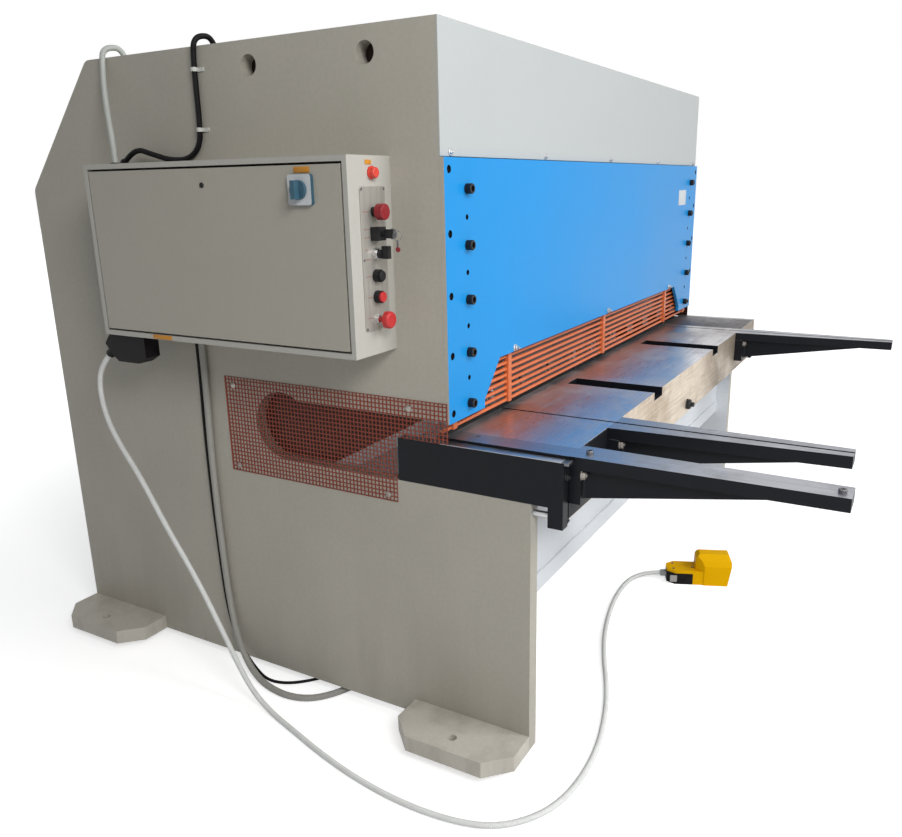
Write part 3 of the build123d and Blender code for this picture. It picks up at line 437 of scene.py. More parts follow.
# %% [markdown]
# ### Moulded plastic
# Buttons, glands, conduits and the foot switch are moulded. Plastic has a fine even
# grain from its mould, and collects dust in soft clouds.

# %% Group: moulded plastic
DUST_GREY = (0.42, 0.39, 0.34)


def plastic_group():
    tree, given, result = new_group("Moulded plastic", [
        ("Colour", "Color", (0.5, 0.5, 0.5, 1)), ("Dust", "Float", 0.1), ("Grain", "Float", 0.2),
        ("Roughness", "Float", 0.4)], SURFACE)
    at = node(tree, "TexCoord").outputs["Object"]
    soft = place_group(tree, SOFT, Radius=0.0008)
    cloud = noise(tree, at, 34.0, 4.0, 0.6)
    dust = times(tree, ramp(tree, cloud, 0.0, 1.0, 0.4, 0.75), given["Dust"])
    dusty = mix_colour(tree, dust, given["Colour"], DUST_GREY)
    rough = plus(tree, given["Roughness"], ramp(tree, cloud, -0.05, 0.12, 0.35, 0.7))
    grain = bump(tree, noise(tree, at, 1400.0, 2.0), given["Grain"], 0.0002, soft["Normal"])
    put_out(tree, result, Colour=dusty, Roughness=rough, Normal=grain)
    return tree


PLASTIC = plastic_group()
print("moulded plastic:", len(PLASTIC.nodes), "nodes")

# %% [markdown]
# ## Finishes
# Each material places one group, gives it its own colour and numbers, and feeds a
# Principled BSDF. What is the same all over a surface, such as how metallic it is, is
# written on the shader's own socket.

# %% A function that makes one finish
MATERIALS = {}


def finish(name, group, colour, metal=0.0, coat=0.0, specular=0.3, **values):
    made = bpy.data.materials.new(name)
    made.use_nodes = True
    tree = made.node_tree
    shader = tree.nodes["Principled BSDF"]
    effect = place_group(tree, group, Colour=colour, **values)
    for ours, theirs in (("Colour", "Base Color"), ("Roughness", "Roughness"), ("Normal", "Normal")):
        tree.links.new(effect[ours], shader.inputs[theirs])
    shader.inputs["Metallic"].default_value = metal
    shader.inputs["Coat Weight"].default_value = coat
    shader.inputs["Specular IOR Level"].default_value = 0.5 if metal else specular
    shader.inputs["Coat Roughness"].default_value = 0.12
    made.diffuse_color = (*colour, 1.0)
    MATERIALS[name] = made


# %% Paints
finish("frame_paint", PAINT, (0.45, 0.425, 0.365), Grime=0.22, Clouding=0.12, Roughness=0.5)
finish("foot_paint", PAINT, (0.57, 0.54, 0.475), Grime=0.40, Clouding=0.12, Roughness=0.5)
finish("cabinet_paint", PAINT, (0.46, 0.448, 0.405), Peel=0.4, Clouding=0.05, Grime=0.05,
       Roughness=0.40, Wear=0.1)
finish("door_paint", PAINT, (0.41, 0.39, 0.33), Peel=0.4, Clouding=0.06, Grime=0.05,
       Roughness=0.42, Wear=0.1)
finish("cover_paint", PAINT, (0.46, 0.485, 0.48), Peel=0.2, Clouding=0.03, Grime=0.03,
       Roughness=0.40, Wear=0.1)
# A lighter, bluer copy of the frame paint: painted light on the right plate's inner face and on the
# inner parts.
finish("lit_inner_paint", PAINT, (0.68, 0.71, 0.74), Grime=0.12, Clouding=0.06)
finish("blue_paint", PAINT, (0.012, 0.27, 0.66), specular=0.12, Peel=0.15, Clouding=0.04,
       Grime=0.04, Roughness=0.34, Wear=0.15)
finish("guard_paint", PAINT, (0.60, 0.135, 0.036), specular=0.5, Bare=(0.30, 0.27, 0.25),
       Grime=0.25, Clouding=0.15, Roughness=0.34, Wear=0.8)
finish("mesh_paint", PAINT, (0.26, 0.052, 0.028), Grime=0.2, Clouding=0.15, Roughness=0.5)
finish("black_paint", PAINT, (0.009, 0.010, 0.013), specular=0.12, Bare=(0.16, 0.16, 0.17),
       Peel=0.2, Clouding=0.12, Grime=0.06, Roughness=0.42, Wear=0.5)
for name, colour in (("black_oxide", (0.010, 0.010, 0.012)), ("throat_dark", (0.024, 0.012, 0.010))):
    finish(name, PAINT, colour, specular=0.25, Bare=(0.20, 0.20, 0.21), Peel=0.1, Clouding=0.1,
           Grime=0.1, Roughness=0.38, Wear=0.6)
print("paints:", len(MATERIALS))

# %% Steels
finish("table_steel", STEEL, (0.72, 0.71, 0.72), metal=1.0, Tarnish=(0.50, 0.43, 0.43), Patches=0.6,
       Dark_from=0.30, Dark_end=0.45, Lines=(3, 260, 260), Line_depth=0.25, Roughness=0.30)
# The table's machined front: its beige colour and brown patches are painted reflection of the
# surroundings, and it is darkened toward its right end as painted shade of the arms.
finish("front_steel_painted_reflection", STEEL, (0.66, 0.56, 0.44), metal=0.6, Tarnish=(0.34, 0.24, 0.16), Patches=0.55,
       Dark_from=0.10, Dark_end=0.72, Lines=(8, 30, 260), Line_depth=0.12, Roughness=0.45)
for name, colour, metal, tarnish, patches, lines, depth, roughness in (
        ("arm_steel", (0.46, 0.47, 0.51), 1.0, (0.24, 0.23, 0.23), 0.5, (260, 3, 260), 0.25, 0.34),
        ("blade_steel", (0.30, 0.31, 0.33), 1.0, (0.14, 0.12, 0.10), 0.5, (4, 200, 200), 0.2, 0.32),
        ("oiled_steel", (0.16, 0.16, 0.17), 1.0, (0.08, 0.06, 0.05), 0.5, (60, 60, 60), 0.1, 0.38),
        ("zinc", (0.60, 0.61, 0.62), 1.0, (0.38, 0.38, 0.38), 0.5, (24, 24, 24), 0.1, 0.34),
        ("dull_zinc", (0.34, 0.31, 0.28), 0.9, (0.20, 0.14, 0.11), 0.6, (30, 30, 30), 0.1, 0.48),
        ("chrome", (0.76, 0.76, 0.77), 1.0, (0.5, 0.5, 0.5), 0.1, (300, 300, 300), 0.02, 0.12),
        ("end_steel", (0.20, 0.195, 0.20), 0.85, (0.10, 0.08, 0.07), 0.6, (4, 240, 240), 0.2, 0.50),
        ("satin_plate", (0.42, 0.40, 0.36), 0.4, (0.36, 0.34, 0.30), 0.25, (90, 90, 5), 0.05, 0.42)):
    finish(name, STEEL, colour, metal=metal, Tarnish=tarnish, Patches=patches, Lines=lines,
           Line_depth=depth, Roughness=roughness)
print("finishes so far:", len(MATERIALS))

# %% Plastics and rubber
finish("black_plastic", PLASTIC, (0.010, 0.010, 0.011), specular=0.2, Dust=0.03, Roughness=0.42)
finish("blue_plastic", PLASTIC, (0.045, 0.115, 0.165), specular=0.2, Dust=0.06, Roughness=0.38)
finish("black_rubber", PLASTIC, (0.006, 0.005, 0.006), specular=0.1, Dust=0.02, Roughness=0.48)
finish("lamp_red", PLASTIC, (0.66, 0.055, 0.035), coat=0.3, Dust=0.02, Grain=0.05, Roughness=0.18)
finish("yellow_plastic", PLASTIC, (0.84, 0.45, 0.0), specular=0.05, Dust=0.0, Grain=0.3,
       Roughness=0.42)
for name, colour, dust, roughness in (
        ("grey_plastic", (0.32, 0.33, 0.34), 0.15, 0.45),
        ("tie_plastic", (0.62, 0.62, 0.58), 0.10, 0.40),
        ("knob_white", (0.60, 0.62, 0.63), 0.10, 0.36),
        ("red_plastic", (0.50, 0.026, 0.028), 0.05, 0.32),
        ("dark_red_plastic", (0.24, 0.012, 0.018), 0.05, 0.34),
        ("orange_label", (0.58, 0.240, 0.016), 0.12, 0.45),
        ("pale_label", (0.40, 0.38, 0.36), 0.15, 0.45),
        ("white_plate", (0.60, 0.64, 0.66), 0.10, 0.40),
        ("mark_brown", (0.30, 0.13, 0.10), 0.05, 0.50),
        ("conduit_grey", (0.78, 0.79, 0.77), 0.15, 0.42),
        ("conduit_pale", (0.47, 0.49, 0.46), 0.12, 0.42),
        ("conduit_dull", (0.36, 0.35, 0.32), 0.20, 0.50)):
    finish(name, PLASTIC, colour, Dust=dust, Roughness=roughness)
print("finishes:", len(MATERIALS))

# %% [markdown]
# ## Dressing the CAD parts
# A CAD mesh may carry several materials, and each of its faces says which one it has.
# The bed, the table and the arms are painted black but ground bare on top, so a small
# function looks at where a face points and picks the slot.

# %% Functions that give a CAD part its materials
def dress(name, *labels, pick=None):
    """Gives a CAD part its materials; pick names a face's slot from its normal and centre."""
    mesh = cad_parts[name].data
    mesh.materials.clear()
    for label in labels:
        mesh.materials.append(MATERIALS[label])
    for face in mesh.polygons:
        face.material_index = pick(face.normal, face.center * 1000 + MIDDLE) if pick else 0


TABLE_TOP, TABLE_FRONT, PANEL_END = 832, -296, 1090
INNER_X, OUTER_X = 998, 1078


def topped(normal, centre):
    """Ground on top, black everywhere else."""
    return 1 if normal.z > 0.7 else 0


def table_face(normal, centre):
    """Ground on top, machined in front with painted reflection and shade, black in the slots, below and
    on the ends.
    """
    if normal.z > 0.9 and centre.z > TABLE_TOP - 2:
        return 1
    return 2 if normal.y < -0.9 and centre.y < TABLE_FRONT + 6 else 0


def panel_face(normal, centre):
    """Blue in front; the ends are sprayed with the frame, and the walls of the holes are black as
    painted shade.
    """
    if abs(normal.x) > 0.9 and abs(centre.x) > PANEL_END:
        return 1
    in_hole = abs(abs(centre.x) - OUTER_X) < 9.5 or abs(abs(centre.x) - INNER_X) < 7.0
    return 2 if abs(normal.y) < 0.5 and in_hole else 0


def facing_left(normal, centre):
    """Slot 1 faces left: on the right plate a lighter paint, painted light on its inner face; on the
    main switch's plate the white front.
    """
    return 1 if normal.x < -0.9 else 0


LEVER_COLLAR_Z, STOP_COLLAR_Z = (1262, 1308), (1100, 1160)


def collar_face(normal, centre):
    """Only the lever and the stop button have plated collars; the others are black."""
    return int(any(low < centre.z < high for low, high in (LEVER_COLLAR_Z, STOP_COLLAR_Z)))


# %% One finish for each plain part
PLAIN = {
    "frame_paint": ("levelling_pads", "side_plate_left"),
    "foot_paint": ("feet_front", "feet_rear"),
    "cabinet_paint": ("cabinet_box", "cable_box"),
    "door_paint": ("cabinet_door",),
    "cover_paint": ("upper_cover", "drive_housing"),
    "lit_inner_paint": ("apron", "tie_plate", "rear_tube", "roof_sheet", "blade_beam", "ram_guides"),
    "guard_paint": ("finger_guard",),
    "mesh_paint": ("throat_guard_left", "throat_guard_right"),
    "blade_steel": ("upper_blade", "lower_blade", "hold_down"),
    "zinc": ("gap_screws", "sheet_slide", "component_plate"),
    "satin_plate": ("control_plate",),
    "black_plastic": ("cable_grommets", "key_switch", "black_button", "lever_switch"),
    "black_rubber": ("pedal_base", "treadle", "plug_gland", "power_plug"),
    "yellow_plastic": ("pedal_hood",),
    "grey_plastic": ("roof_glands", "pedal_gland"),
    "tie_plastic": ("cable_clips",),
    "dark_red_plastic": ("reset_button",),
    "lamp_red": ("pilot_lamp",),
    "red_plastic": ("red_button", "stop_button"),
    "blue_plastic": ("switch_knob",),
}
for label, names in PLAIN.items():
    for name in names:
        dress(name, label)
print("plain parts:", sum(len(names) for names in PLAIN.values()))

# %% Parts with more than one finish
for name in ("bed", "middle_arm", "end_arm", "squaring_arm"):
    dress(name, "black_paint", "arm_steel", pick=topped)
dress("table", "black_paint", "table_steel", "front_steel_painted_reflection", pick=table_face)
dress("switch_plate", "blue_plastic", "knob_white", pick=facing_left)
dress("control_collars", "black_plastic", "chrome", pick=collar_face)
dress("front_panel", "blue_paint", "frame_paint", "black_oxide", pick=panel_face)
dress("side_plate_right", "frame_paint", "lit_inner_paint", pick=facing_left)
for name in cords:
    dress(name, "black_rubber")
    cords[name].data.materials.append(MATERIALS[{
        "foot_switch_conduit": "conduit_grey", "motor_conduit": "conduit_dull",
        "top_conduit": "conduit_pale"}.get(name, "black_rubber")])
print("dressed parts:", len(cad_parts))

# %% [markdown]
# ## Small fittings
# Screws, plates, marks and the guards' mesh are too fine for the solid model. A form
# collects points and faces in machine millimetres and then becomes one mesh, so all the
# screws of one kind are a single piece that moves with its body.

# %% A form that becomes a piece
class Form:
    """Points and faces of one piece, and the number of each face's material."""

    def __init__(self):
        self.points, self.faces, self.slots = [], [], []

    def add(self, points, faces, slot=0):
        first = len(self.points)
        self.points += [Vector(p) for p in points]
        self.faces += [tuple(first + i for i in face) for face in faces]
        self.slots += [slot] * len(faces)

    def piece(self, name, body, *labels, smooth=40.0):
        mesh = bpy.data.meshes.new(name)
        mesh.from_pydata([place(*p) for p in self.points], [], self.faces)
        for label in labels:
            mesh.materials.append(MATERIALS[label])
        for face, slot in zip(mesh.polygons, self.slots):
            face.material_index = slot
        outward = bmesh.new()
        outward.from_mesh(mesh)
        bmesh.ops.recalc_face_normals(outward, faces=outward.faces)
        outward.to_mesh(mesh)
        outward.free()
        if smooth:
            mesh.shade_smooth()
            mesh.set_sharp_from_angle(angle=radians(smooth))
        made = add_object(name, mesh)
        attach(made, body)
        print(name, "on", body, "points:", len(self.points))
        return made


# %% Turned bodies, round or with corners
FRONT, LEFT, RIGHT, UP = (0, -1, 0), (-1, 0, 0), (1, 0, 0), (0, 0, 1)


def square_to(axis, roll=0.0):
    """An axis and two directions square to it and to each other."""
    axis = Vector(axis).normalized()
    side = axis.cross(Vector((0.0, 0.0, 1.0)))
    if side.length < 1e-3:
        side = Vector((1.0, 0.0, 0.0))
    side = (Matrix.Rotation(roll, 3, axis) @ side.normalized()).normalized()
    return axis, side, axis.cross(side)


def walls(count):
    """Four-sided faces between two outlines of count points, numbered one after the other."""
    return [(i, (i + 1) % count, count + (i + 1) % count, count + i) for i in range(count)]


def turned(form, centre, axis, rings, slot=0, segments=24, roll=0.0):
    """A body on an axis through rings of (radius, height, corners); no corners is round."""
    axis, side, up = square_to(axis, roll)
    points, faces = [], []
    for radius, height, corners in rings:
        for i in range(segments):
            angle = 2 * pi * i / segments
            reach = radius
            if corners:
                reach = radius / cos(angle % (2 * pi / corners) - pi / corners)
            out = cos(angle) * side + sin(angle) * up
            points.append(Vector(centre) + height * axis + reach * out)
    for first in range(0, (len(rings) - 1) * segments, segments):
        faces += [tuple(first + i for i in face) for face in walls(segments)]
    last = (len(rings) - 1) * segments
    faces.append(tuple(reversed(range(segments))))
    faces.append(tuple(last + i for i in range(segments)))
    form.add(points, faces, slot)


def slab(form, low, high, edge=0.4, slot=0):
    """A plate between two corners with its edges rounded over."""
    made = bmesh.new()
    bmesh.ops.create_cube(made, size=1.0)
    low, high = Vector(low), Vector(high)
    for vert in made.verts:
        vert.co = Vector((low[i] + high[i]) / 2 + vert.co[i] * (high[i] - low[i]) for i in range(3))
    bmesh.ops.bevel(made, geom=list(made.edges), offset=min(edge, 0.45 * min(high - low)), segments=2,
                    affect="EDGES", profile=0.5)
    made.verts.index_update()
    form.add([v.co.copy() for v in made.verts], [[v.index for v in f.verts] for f in made.faces], slot)
    made.free()


# %% Screws
def socket_screw(form, centre, axis, radius, height, socket, roll=0.2, slot=0):
    """A cap screw with a hexagon socket in its head."""
    turned(form, centre, axis, (
        (radius, 0, 0), (radius, height - 0.12 * radius, 0), (radius * 0.88, height, 0),
        (socket, height, 6), (socket, height * 0.45, 6)), slot, 36, roll)


def hex_screw(form, centre, axis, flat, height, washer, end=0.0, roll=0.2, slot=0):
    """A hexagon head on a washer, with the end of its thread where there is one."""
    turned(form, centre, axis, ((washer, 0, 0), (washer, 1.6, 0), (washer * 0.9, 2.1, 0)), slot, 36)
    rings = [(flat, 2.0, 6), (flat, 2.0 + height * 0.82, 6), (flat * 0.93, 2.0 + height, 0)]
    if end:
        rings += [(flat * 0.5, 2.0 + height, 0), (flat * 0.5, 2.0 + height + end, 0)]
    turned(form, centre, axis, rings, slot, 36, roll)


print("shapes for screws: socket and hexagon")

# %% [markdown]
# ### Front panel and cover
# Ten black cap screws hold the blue panel, five a side, and their heads stand clear of
# it. The other holes have their screws deep inside. The cover above has small zinc
# screws along its lower edge.

# %% Panel bolts, recessed screws, cover screws
INNER_PITCH, OUTER_PITCH = 128.75, 142
bolts, recessed, screws = Form(), Form(), Form()
for side in (-1, 1):
    for i in range(5):
        socket_screw(bolts, (side * INNER_X, 0.2, 909 + INNER_PITCH * i), FRONT, 12, 17, 7, 0.37 * i)
        socket_screw(recessed, (side * OUTER_X, 11.5, 899 + OUTER_PITCH * i), FRONT,
                     8.4, 6.5, 4.6, 0.5 * i)
    for i in range(4):
        socket_screw(recessed, (side * INNER_X, 11.9, 973.375 + INNER_PITCH * i), FRONT,
                     6.2, 4.0, 3.2, 0.3 * i)
bolts.piece("panel_bolts", "machine", "black_oxide")
recessed.piece("recessed_screws", "machine", "black_oxide")
for i, x in enumerate((-1055, -530, 0, 530, 1055)):
    hex_screw(screws, (x, 9, 1504), FRONT, 5.0, 4.5, 8.5, end=3.0, roll=0.4 * i)
screws.piece("cover_screws", "machine", "zinc")

# %% Rating plate, left without words
rating = Form()
slab(rating, (826, -0.9, 1333), (936, 0.0, 1394), 0.4)
for x, z in ((832, 1339), (930, 1339), (832, 1388), (930, 1388)):
    turned(rating, (x, -0.9, z), FRONT, ((2.2, 0, 0), (1.9, 0.6, 0), (0.8, 0.9, 0)), slot=1, segments=12)
rating.piece("rating_plate", "machine", "white_plate", "zinc")

# %% [markdown]
# ### Finger guard
# Nine round rods run across in front of the blade, close enough to stop a finger, and
# flat posts hold them. The solid model has a plain slotted sheet; a round rod catches
# the light along its top and goes dark below, so the guard is built again from rods.

# %% Rods and posts of the finger guard
ROD_RADIUS, ROD_PITCH, LOWEST_ROD = 4.9, 17.5, 857
guard = Form()
for i in range(9):
    half_width = 1099.5 if i == 0 else 1059.5
    turned(guard, (-half_width, 22, LOWEST_ROD + ROD_PITCH * i), RIGHT, (
        (4.2, 0, 0), (ROD_RADIUS, 0.7, 0), (ROD_RADIUS, 2 * half_width - 0.7, 0),
        (4.2, 2 * half_width, 0)), segments=20)
for x in (-1049.5, -745, 0, 745, 1049.5):
    slab(guard, (x - 10, 12.2, 852), (x + 10, 26, 1002), 1.2)
guard_piece = guard.piece("guard_rods", "machine", "guard_paint")
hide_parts("finger_guard")

# %% Screws that hold the finger guard's posts
pins = Form()
for i, x in enumerate((-741, 0, 741)):
    hex_screw(pins, (x, 0, 1003), FRONT, 6.5, 6.0, 10.0, end=7.0, roll=0.5 * i)
pins.piece("guard_pins", "machine", "zinc")

# %% [markdown]
# ### Throat guards
# The openings in the side plates are covered with square-punched sheet. In the solid
# model it is a plain sheet, because hundreds of holes would weigh it down. Here the
# sheet is laid out cell by cell: a frame of four faces round each hole, front and back,
# and the hole's walls between them. Cells too narrow for a hole stay closed.

# %% A sheet with square holes
NEAR, STEP_Y, FAR = 5, 158, 733
LOW, STEP_Z, HIGH = 650, 826, 928


def mesh_guard(side, bar=1.3, pitch=11.65):
    """A throat guard: the outline is a rectangle without its lower front corner."""
    faces_x = (side * 1100.0, side * 1102.0)
    across = [NEAR, *(STEP_Y + pitch * k for k in range(-13, 50)), FAR]
    upward = [LOW, *(STEP_Z + pitch * k for k in range(-15, 9)), HIGH]
    form = Form()
    for y0, y1 in zip(across, across[1:]):
        for z0, z1 in zip(upward, upward[1:]):
            if y1 < STEP_Y + 0.1 and z1 < STEP_Z + 0.1:
                continue
            rim = [(y0, z0), (y1, z0), (y1, z1), (y0, z1)]
            hole = [(y0 + bar, z0 + bar), (y1 - bar, z0 + bar),
                    (y1 - bar, z1 - bar), (y0 + bar, z1 - bar)]
            closed = min(y1 - y0, z1 - z0) < 6
            for x in faces_x:
                if closed:
                    form.add([(x, y, z) for y, z in rim], [(0, 1, 2, 3)])
                else:
                    form.add([(x, y, z) for y, z in rim + hole], walls(4))
            if not closed:
                form.add([(x, y, z) for x in faces_x for y, z in hole], walls(4))
    edge = [(STEP_Y, LOW), (FAR, LOW), (FAR, HIGH), (NEAR, HIGH), (NEAR, STEP_Z), (STEP_Y, STEP_Z)]
    form.add([(x, y, z) for x in faces_x for y, z in edge], walls(6))
    return form


for side, name in ((-1, "left"), (1, "right")):
    guard = mesh_guard(side).piece(f"throat_mesh_{name}", "machine", "mesh_paint", smooth=0)
    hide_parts(f"throat_guard_{name}")

# %% [markdown]
# ### Dark sheets
# The throats and the lifting holes look dark, as little light reaches the inside of the
# machine. On a white ground the light would show through them, so a thin dark sheet
# closes each one inside the plate, where no moving piece comes.

# %% Dark sheets behind the guards and the lifting holes
def between(form, first, second):
    """A flat piece between two equal outlines."""
    count = len(first)
    form.add([*first, *second],
             [tuple(reversed(range(count))), tuple(range(count, 2 * count)), *walls(count)])


THROAT_END, LIFT_HOLES = (530, 806), ((200, 1722), (549, 1722))


def round_end(radius, steps=14):
    """The round end of the throat, from its low side to its high side."""
    turns = (pi * (i / steps - 0.5) for i in range(steps + 1))
    return [(THROAT_END[0] + radius * cos(a), THROAT_END[1] + radius * sin(a)) for a in turns]


liner = Form()
for low, high, outline in (
        (1099.2, 1099.9, [(6, 827), (66, 827), (66, 711), *round_end(94.5), (459, 881), (6, 881)]),
        (-1059.5, -1058.5, [(400, 704), *round_end(102), (459, 889), (60, 889)])):
    between(liner, [(low, y, z) for y, z in outline], [(high, y, z) for y, z in outline])
for side in (-1, 1):
    for y, z in LIFT_HOLES:
        turned(liner, (side * 1058.5, y, z), (side, 0, 0), ((28, 0, 0), (28, 1, 0)), segments=32)
liner.piece("dark_liners", "machine", "throat_dark", smooth=0)

# %% Round screws of the throat guards
for side, name in ((-1, "left"), (1, "right")):
    heads = Form()
    for y, z in ((701.5, 903), (704.8, 666.5), (116, 904.5), (187.3, 666.5)):
        turned(heads, (side * 1102, y, z), (side, 0, 0), (
            (8.5, 0, 0), (8.5, 1.2, 0), (7.8, 1.7, 0), (6.2, 1.8, 0), (6.0, 3.2, 0),
            (4.2, 4.6, 0), (1.2, 5.2, 0)))
    heads.piece(f"mesh_screws_{name}", "machine", "dull_zinc")

# %% [markdown]
# ### Table, bed end and support arms
# The arms are bolted through their flanges to the bed, and cap screws hold the squaring
# strip to its arm. A clamp bolt stands out of the table's front edge. The bed's left end
# carries a ground strip for setting the work square, and a thin dull plate lies on the
# table's right end.

# %% Screws of the arms and the table
heads, clamp, flange_bolts = Form(), Form(), Form()
socket_screw(heads, (-1028, -332, TABLE_TOP), UP, 8.5, 8.0, 4.2, 0.4)
socket_screw(heads, (-1036, -868, TABLE_TOP), UP, 8.5, 8.0, 4.2, 0.1)
turned(heads, (-1023, -37, TABLE_TOP), UP, ((6.0, 0, 0), (6.0, 0.3, 0), (5.2, 0.6, 0)))
heads.piece("strip_screws", "machine", "oiled_steel")
turned(clamp, (-16, TABLE_FRONT, 705), FRONT, (
    (18, 0, 0), (18, 2.5, 0), (15, 2.6, 6), (15, 12, 6), (13.8, 14, 0), (8, 14, 0),
    (8, 23, 0), (7, 25, 0)), segments=36)
clamp.piece("table_clamp_bolt", "machine", "black_oxide")
for x in (-1059, -985, -797, -713, 723, 807):
    hex_screw(flange_bolts, (x, -326, 789), FRONT, 9.5, 8.0, 12.5, end=3.0, roll=0.3)
flange_bolts.piece("arm_flange_bolts", "machine", "dull_zinc")

# %% A black sheet between two arms, painted shadow and reflection of the arms on the machined front, and the plate on the table's right end
shade_pad = Form()
slab(shade_pad, (-1064, -297.0, 677), (-800, -296.05, 831.2), 0.3)
shade_pad.piece("arm_shade_pad", "machine", "black_paint")
end_plate = Form()
slab(end_plate, (812, -295.5, TABLE_TOP), (1066, 35.5, TABLE_TOP + 0.4), 0.15)
end_plate.piece("table_end_plate", "machine", "end_steel")

# %% Ground strip and bolt of the bed's left end
strip, nut = Form(), Form()
slab(strip, (-1099.5, -291, 823.6), (-1070.5, 30, 825.6), 0.7)
slab(strip, (-1099.5, -309, 818.0), (-1070.5, -297.2, 825.4), 1.0, slot=1)
slab(strip, (-1099.5, -297.4, 824.0), (-1070.5, -291.6, 825.2), 0.5, slot=1)
strip.piece("bed_end_strip", "machine", "arm_steel", "oiled_steel")
turned(nut, (-1070, -284, 671), RIGHT, (
    (13, 0, 6), (13, 10, 6), (12, 11.5, 0), (7.5, 11.5, 0), (7.5, 20, 0), (6.8, 21, 0)), segments=36)
hex_screw(nut, (-1085, -297, 787), FRONT, 6.5, 6.0, 8.5, end=4.0, roll=0.1)
nut.piece("bed_lug_bolts", "machine", "black_oxide")

# %% [markdown]
# ### Cabinet
# The cabinet's door has a small lock and a main switch, and its plates stay without
# words. The control plate is held by six small screws, and a short line marks each
# button's row.

# %% Plates without words, and the door's lock
plates, door_plate, lock = Form(), Form(), Form()
slab(plates, (-1266.4, 737, 1055.5), (-1265.0, 806, 1066.5), 0.4)
slab(plates, (-1198.5, 141.8, 1479.5), (-1175.5, 143.0, 1489.5), 0.4)
plates.piece("orange_plates", "machine", "orange_label")
slab(door_plate, (-1266.4, 244, 1464.0), (-1265.0, 288, 1477.0), 0.4)
door_plate.piece("door_plate", "door", "orange_label")
turned(lock, (-1265, 574, 1442), LEFT, (
    (6.5, 0, 0), (6.5, 1.6, 0), (5.6, 2.4, 0), (3.0, 2.4, 3), (3.0, 1.0, 3)), segments=36)
lock.piece("door_lock", "door", "black_plastic")

# %% Control plate: marks and screws
ticks, plate_screws = Form(), Form()
for z, x0, x1 in ((1378.7, -1217, -1197), (1340.3, -1215, -1194), (1322.4, -1216, -1194),
                  (1294.5, -1215, -1194), (1274.0, -1217, -1194), (1235.8, -1216, -1194),
                  (1189.0, -1214, -1194), (1142.0, -1215, -1192)):
    slab(ticks, (x0, 140.75, z - 0.8), (x1, 141.05, z + 0.8), 0.1)
ticks.piece("plate_marks", "machine", "mark_brown")
for x in (-1220, -1134):
    for z in (1427.5, 1273, 1117.5):
        turned(plate_screws, (x, 141, z), FRONT, (
            (3.2, 0, 0), (3.2, 0.8, 0), (2.4, 1.6, 0), (0.8, 1.9, 0)), segments=16)
plate_screws.piece("plate_screws", "machine", "oiled_steel")

# %% [markdown]
# ### Key
# The key stays in its switch with a wire ring and a tag below it, and all of them turn
# with the switch. The ring is a thin round wire: a small circle carried round a large
# one.

# %% Key bow, wire ring and tag
def wire_ring(form, centre, normal, radius, wire, segments=32, around=8):
    axis, side, up = square_to(normal)
    points, faces = [], []
    for i in range(segments):
        out = cos(2 * pi * i / segments) * side + sin(2 * pi * i / segments) * up
        for j in range(around):
            swing = 2 * pi * j / around
            points.append(Vector(centre) + (radius + wire * cos(swing)) * out + wire * sin(swing) * axis)
            k, m = (i + 1) % segments, (j + 1) % around
            faces.append((i * around + j, k * around + j, k * around + m, i * around + m))
    form.add(points, faces)


key = Form()
turned(key, (-1177, 90.5, 1330), RIGHT, (
    (11.5, -1.1, 0), (12, -0.6, 0), (12, 0.6, 0), (11.5, 1.1, 0)), segments=32)
wire_ring(key, (-1177, 78.5, 1326), (1, 0.25, 0), 10.5, 0.8)
slab(key, (-1178, 75.0, 1300), (-1176.4, 81.0, 1317), 0.5)
turned(key, (-1177.2, 78, 1296), RIGHT, ((5.6, -1, 0), (6, -0.6, 0), (6, 0.6, 0), (5.6, 1, 0)), slot=1)
key.piece("key_and_ring", "key", "oiled_steel", "dark_red_plastic")

# %% [markdown]
# ### Foot switch
# The yellow hood is screwed to a black base with three cap screws, and a bare plate sits
# on the base's side. Both lie askew on the floor, so their places are given along and
# across the switch.

# %% Screws and bare plate, placed along and across the foot switch
PEDAL = Vector((70, -235, 0))
ALONG, ACROSS = Vector((0.3746, -0.9272, 0)), Vector((-0.9272, -0.3746, 0))


def on_pedal(along, across, up):
    return PEDAL + along * ALONG + across * ACROSS + Vector((0, 0, up))


pedal_screws, blank = Form(), Form()
for along, across in ((24, 21.5), (24, -21.5), (93, 6.5)):
    turned(pedal_screws, on_pedal(along, across, 53), UP, (
        (4.2, 0, 0), (4.2, 1.4, 0), (3.4, 2.4, 0), (1.8, 2.6, 6), (1.8, 1.2, 6)))
pedal_screws.piece("pedal_screws", "machine", "oiled_steel")
rounded = [(12, 9), (33, 9), (34.4, 9.6), (35, 11), (35, 33), (34.4, 34.4), (33, 35), (12, 35),
           (10.6, 34.4), (10, 33), (10, 11), (10.6, 9.6)]
between(blank, *([on_pedal(along, across, z) for along, z in rounded] for across in (42.5, 43.2)))
blank.piece("pedal_plate", "machine", "pale_label")

# %% [markdown]
# ## Floor, backdrop and light
# The picture has a white ground. Lighting the scene until the floor turned white would
# burn out the pale paint, so the floor and the world are made white only to the camera
# and to mirrors and glass, by the Light Path node, while the lamps stay at a plain
# level. The floor adds that white to its own shading and so keeps the shadow, and adds
# more of it further out, so that no horizon shows.

# %% World
def seen_directly(tree):
    """One for rays from the camera, a mirror or glass, and zero for all other light."""
    path = node(tree, "LightPath")
    straight = maths(tree, "MAXIMUM", path.outputs["Is Camera Ray"], path.outputs["Is Transmission Ray"])
    return maths(tree, "MAXIMUM", straight, path.outputs["Is Glossy Ray"])


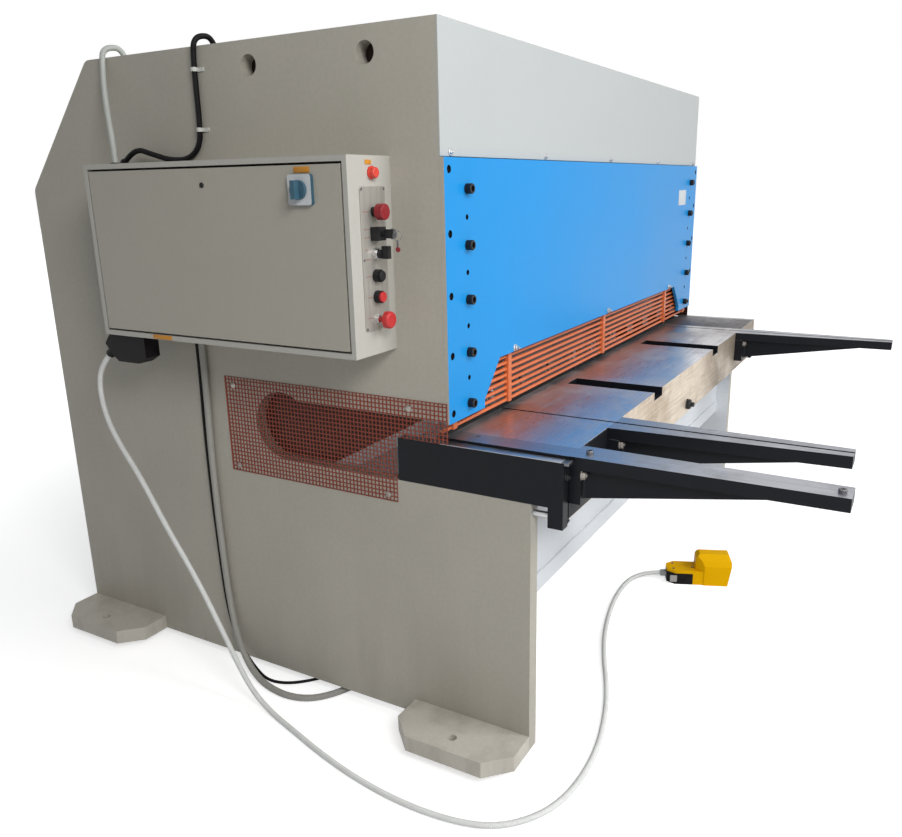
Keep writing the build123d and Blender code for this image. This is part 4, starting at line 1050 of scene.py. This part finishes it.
world = bpy.data.worlds.new("studio")
bpy.context.scene.world = world
world.use_nodes = True
tree = world.node_tree
tree.nodes.clear()
soft = node(tree, "Background", Color=(0.94, 0.965, 1.0, 1.0))
heading = split(tree, node(tree, "TexCoord").outputs["Generated"])
IN_FRONT, BEHIND = 0.30, 0.09
tree.links.new(ramp(tree, heading["Y"], IN_FRONT, BEHIND, -1.0, 1.0), soft.inputs["Strength"])
white = node(tree, "Background", Color=(1.0, 1.0, 1.0, 1.0), Strength=1.0)
choice = node(tree, "MixShader")
tree.links.new(seen_directly(tree), choice.inputs[0])
tree.links.new(soft.outputs[0], choice.inputs[1])
tree.links.new(white.outputs[0], choice.inputs[2])
tree.links.new(choice.outputs[0], node(tree, "OutputWorld").inputs["Surface"])
print("world: brighter from the operator's side than from behind")

# %% Floor
REACH = 30
floor_mesh = bpy.data.meshes.new("floor")
floor_mesh.from_pydata([(-REACH, -REACH, 0), (REACH, -REACH, 0), (REACH, REACH, 0), (-REACH, REACH, 0)],
                       [], [(0, 1, 2, 3)])
floor = add_object("floor", floor_mesh)
floor_paint = bpy.data.materials.new("floor")
floor_paint.use_nodes = True
tree = floor_paint.node_tree
shade = tree.nodes["Principled BSDF"]
shade.inputs["Base Color"].default_value = (0.80, 0.80, 0.80, 1.0)
shade.inputs["Roughness"].default_value = 0.95
lift = node(tree, "Emission", Strength=0.0)
spot = split(tree, node(tree, "TexCoord").outputs["Object"])
distance_squared = plus(tree, times(tree, spot["X"], spot["X"]), times(tree, spot["Y"], spot["Y"]))
amount = ramp(tree, distance_squared, 0.62, 1.0, 2.5, 12.0)
tree.links.new(times(tree, seen_directly(tree), amount), lift.inputs["Strength"])
both = node(tree, "AddShader")
tree.links.new(shade.outputs[0], both.inputs[0])
tree.links.new(lift.outputs[0], both.inputs[1])
tree.links.new(both.outputs[0], tree.nodes["Material Output"].inputs["Surface"])
floor_mesh.materials.append(floor_paint)
print("floor reaches", REACH, "m each way")

# %% Two soft lamps
LAMPS = (("key_light", (0.2, -5.0, 4.2), (0.0, 0.0, 0.9), 2.6, 192.0),
         ("fill_light", (-2.9, -2.6, 3.0), (-1.1, -0.9, 1.35), 1.2, 76.0))
for name, position, aim, size, power in LAMPS:
    light = bpy.data.lights.new(name, "AREA")
    light.size = size
    light.energy = power
    lamp = add_object(name, light)
    lamp.location = position
    lamp.rotation_mode = "QUATERNION"
    lamp.rotation_quaternion = (Vector(aim) - Vector(position)).to_track_quat("-Z", "Y")
    print(name, "watts:", power)
bpy.context.scene.view_settings.view_transform = "Standard"
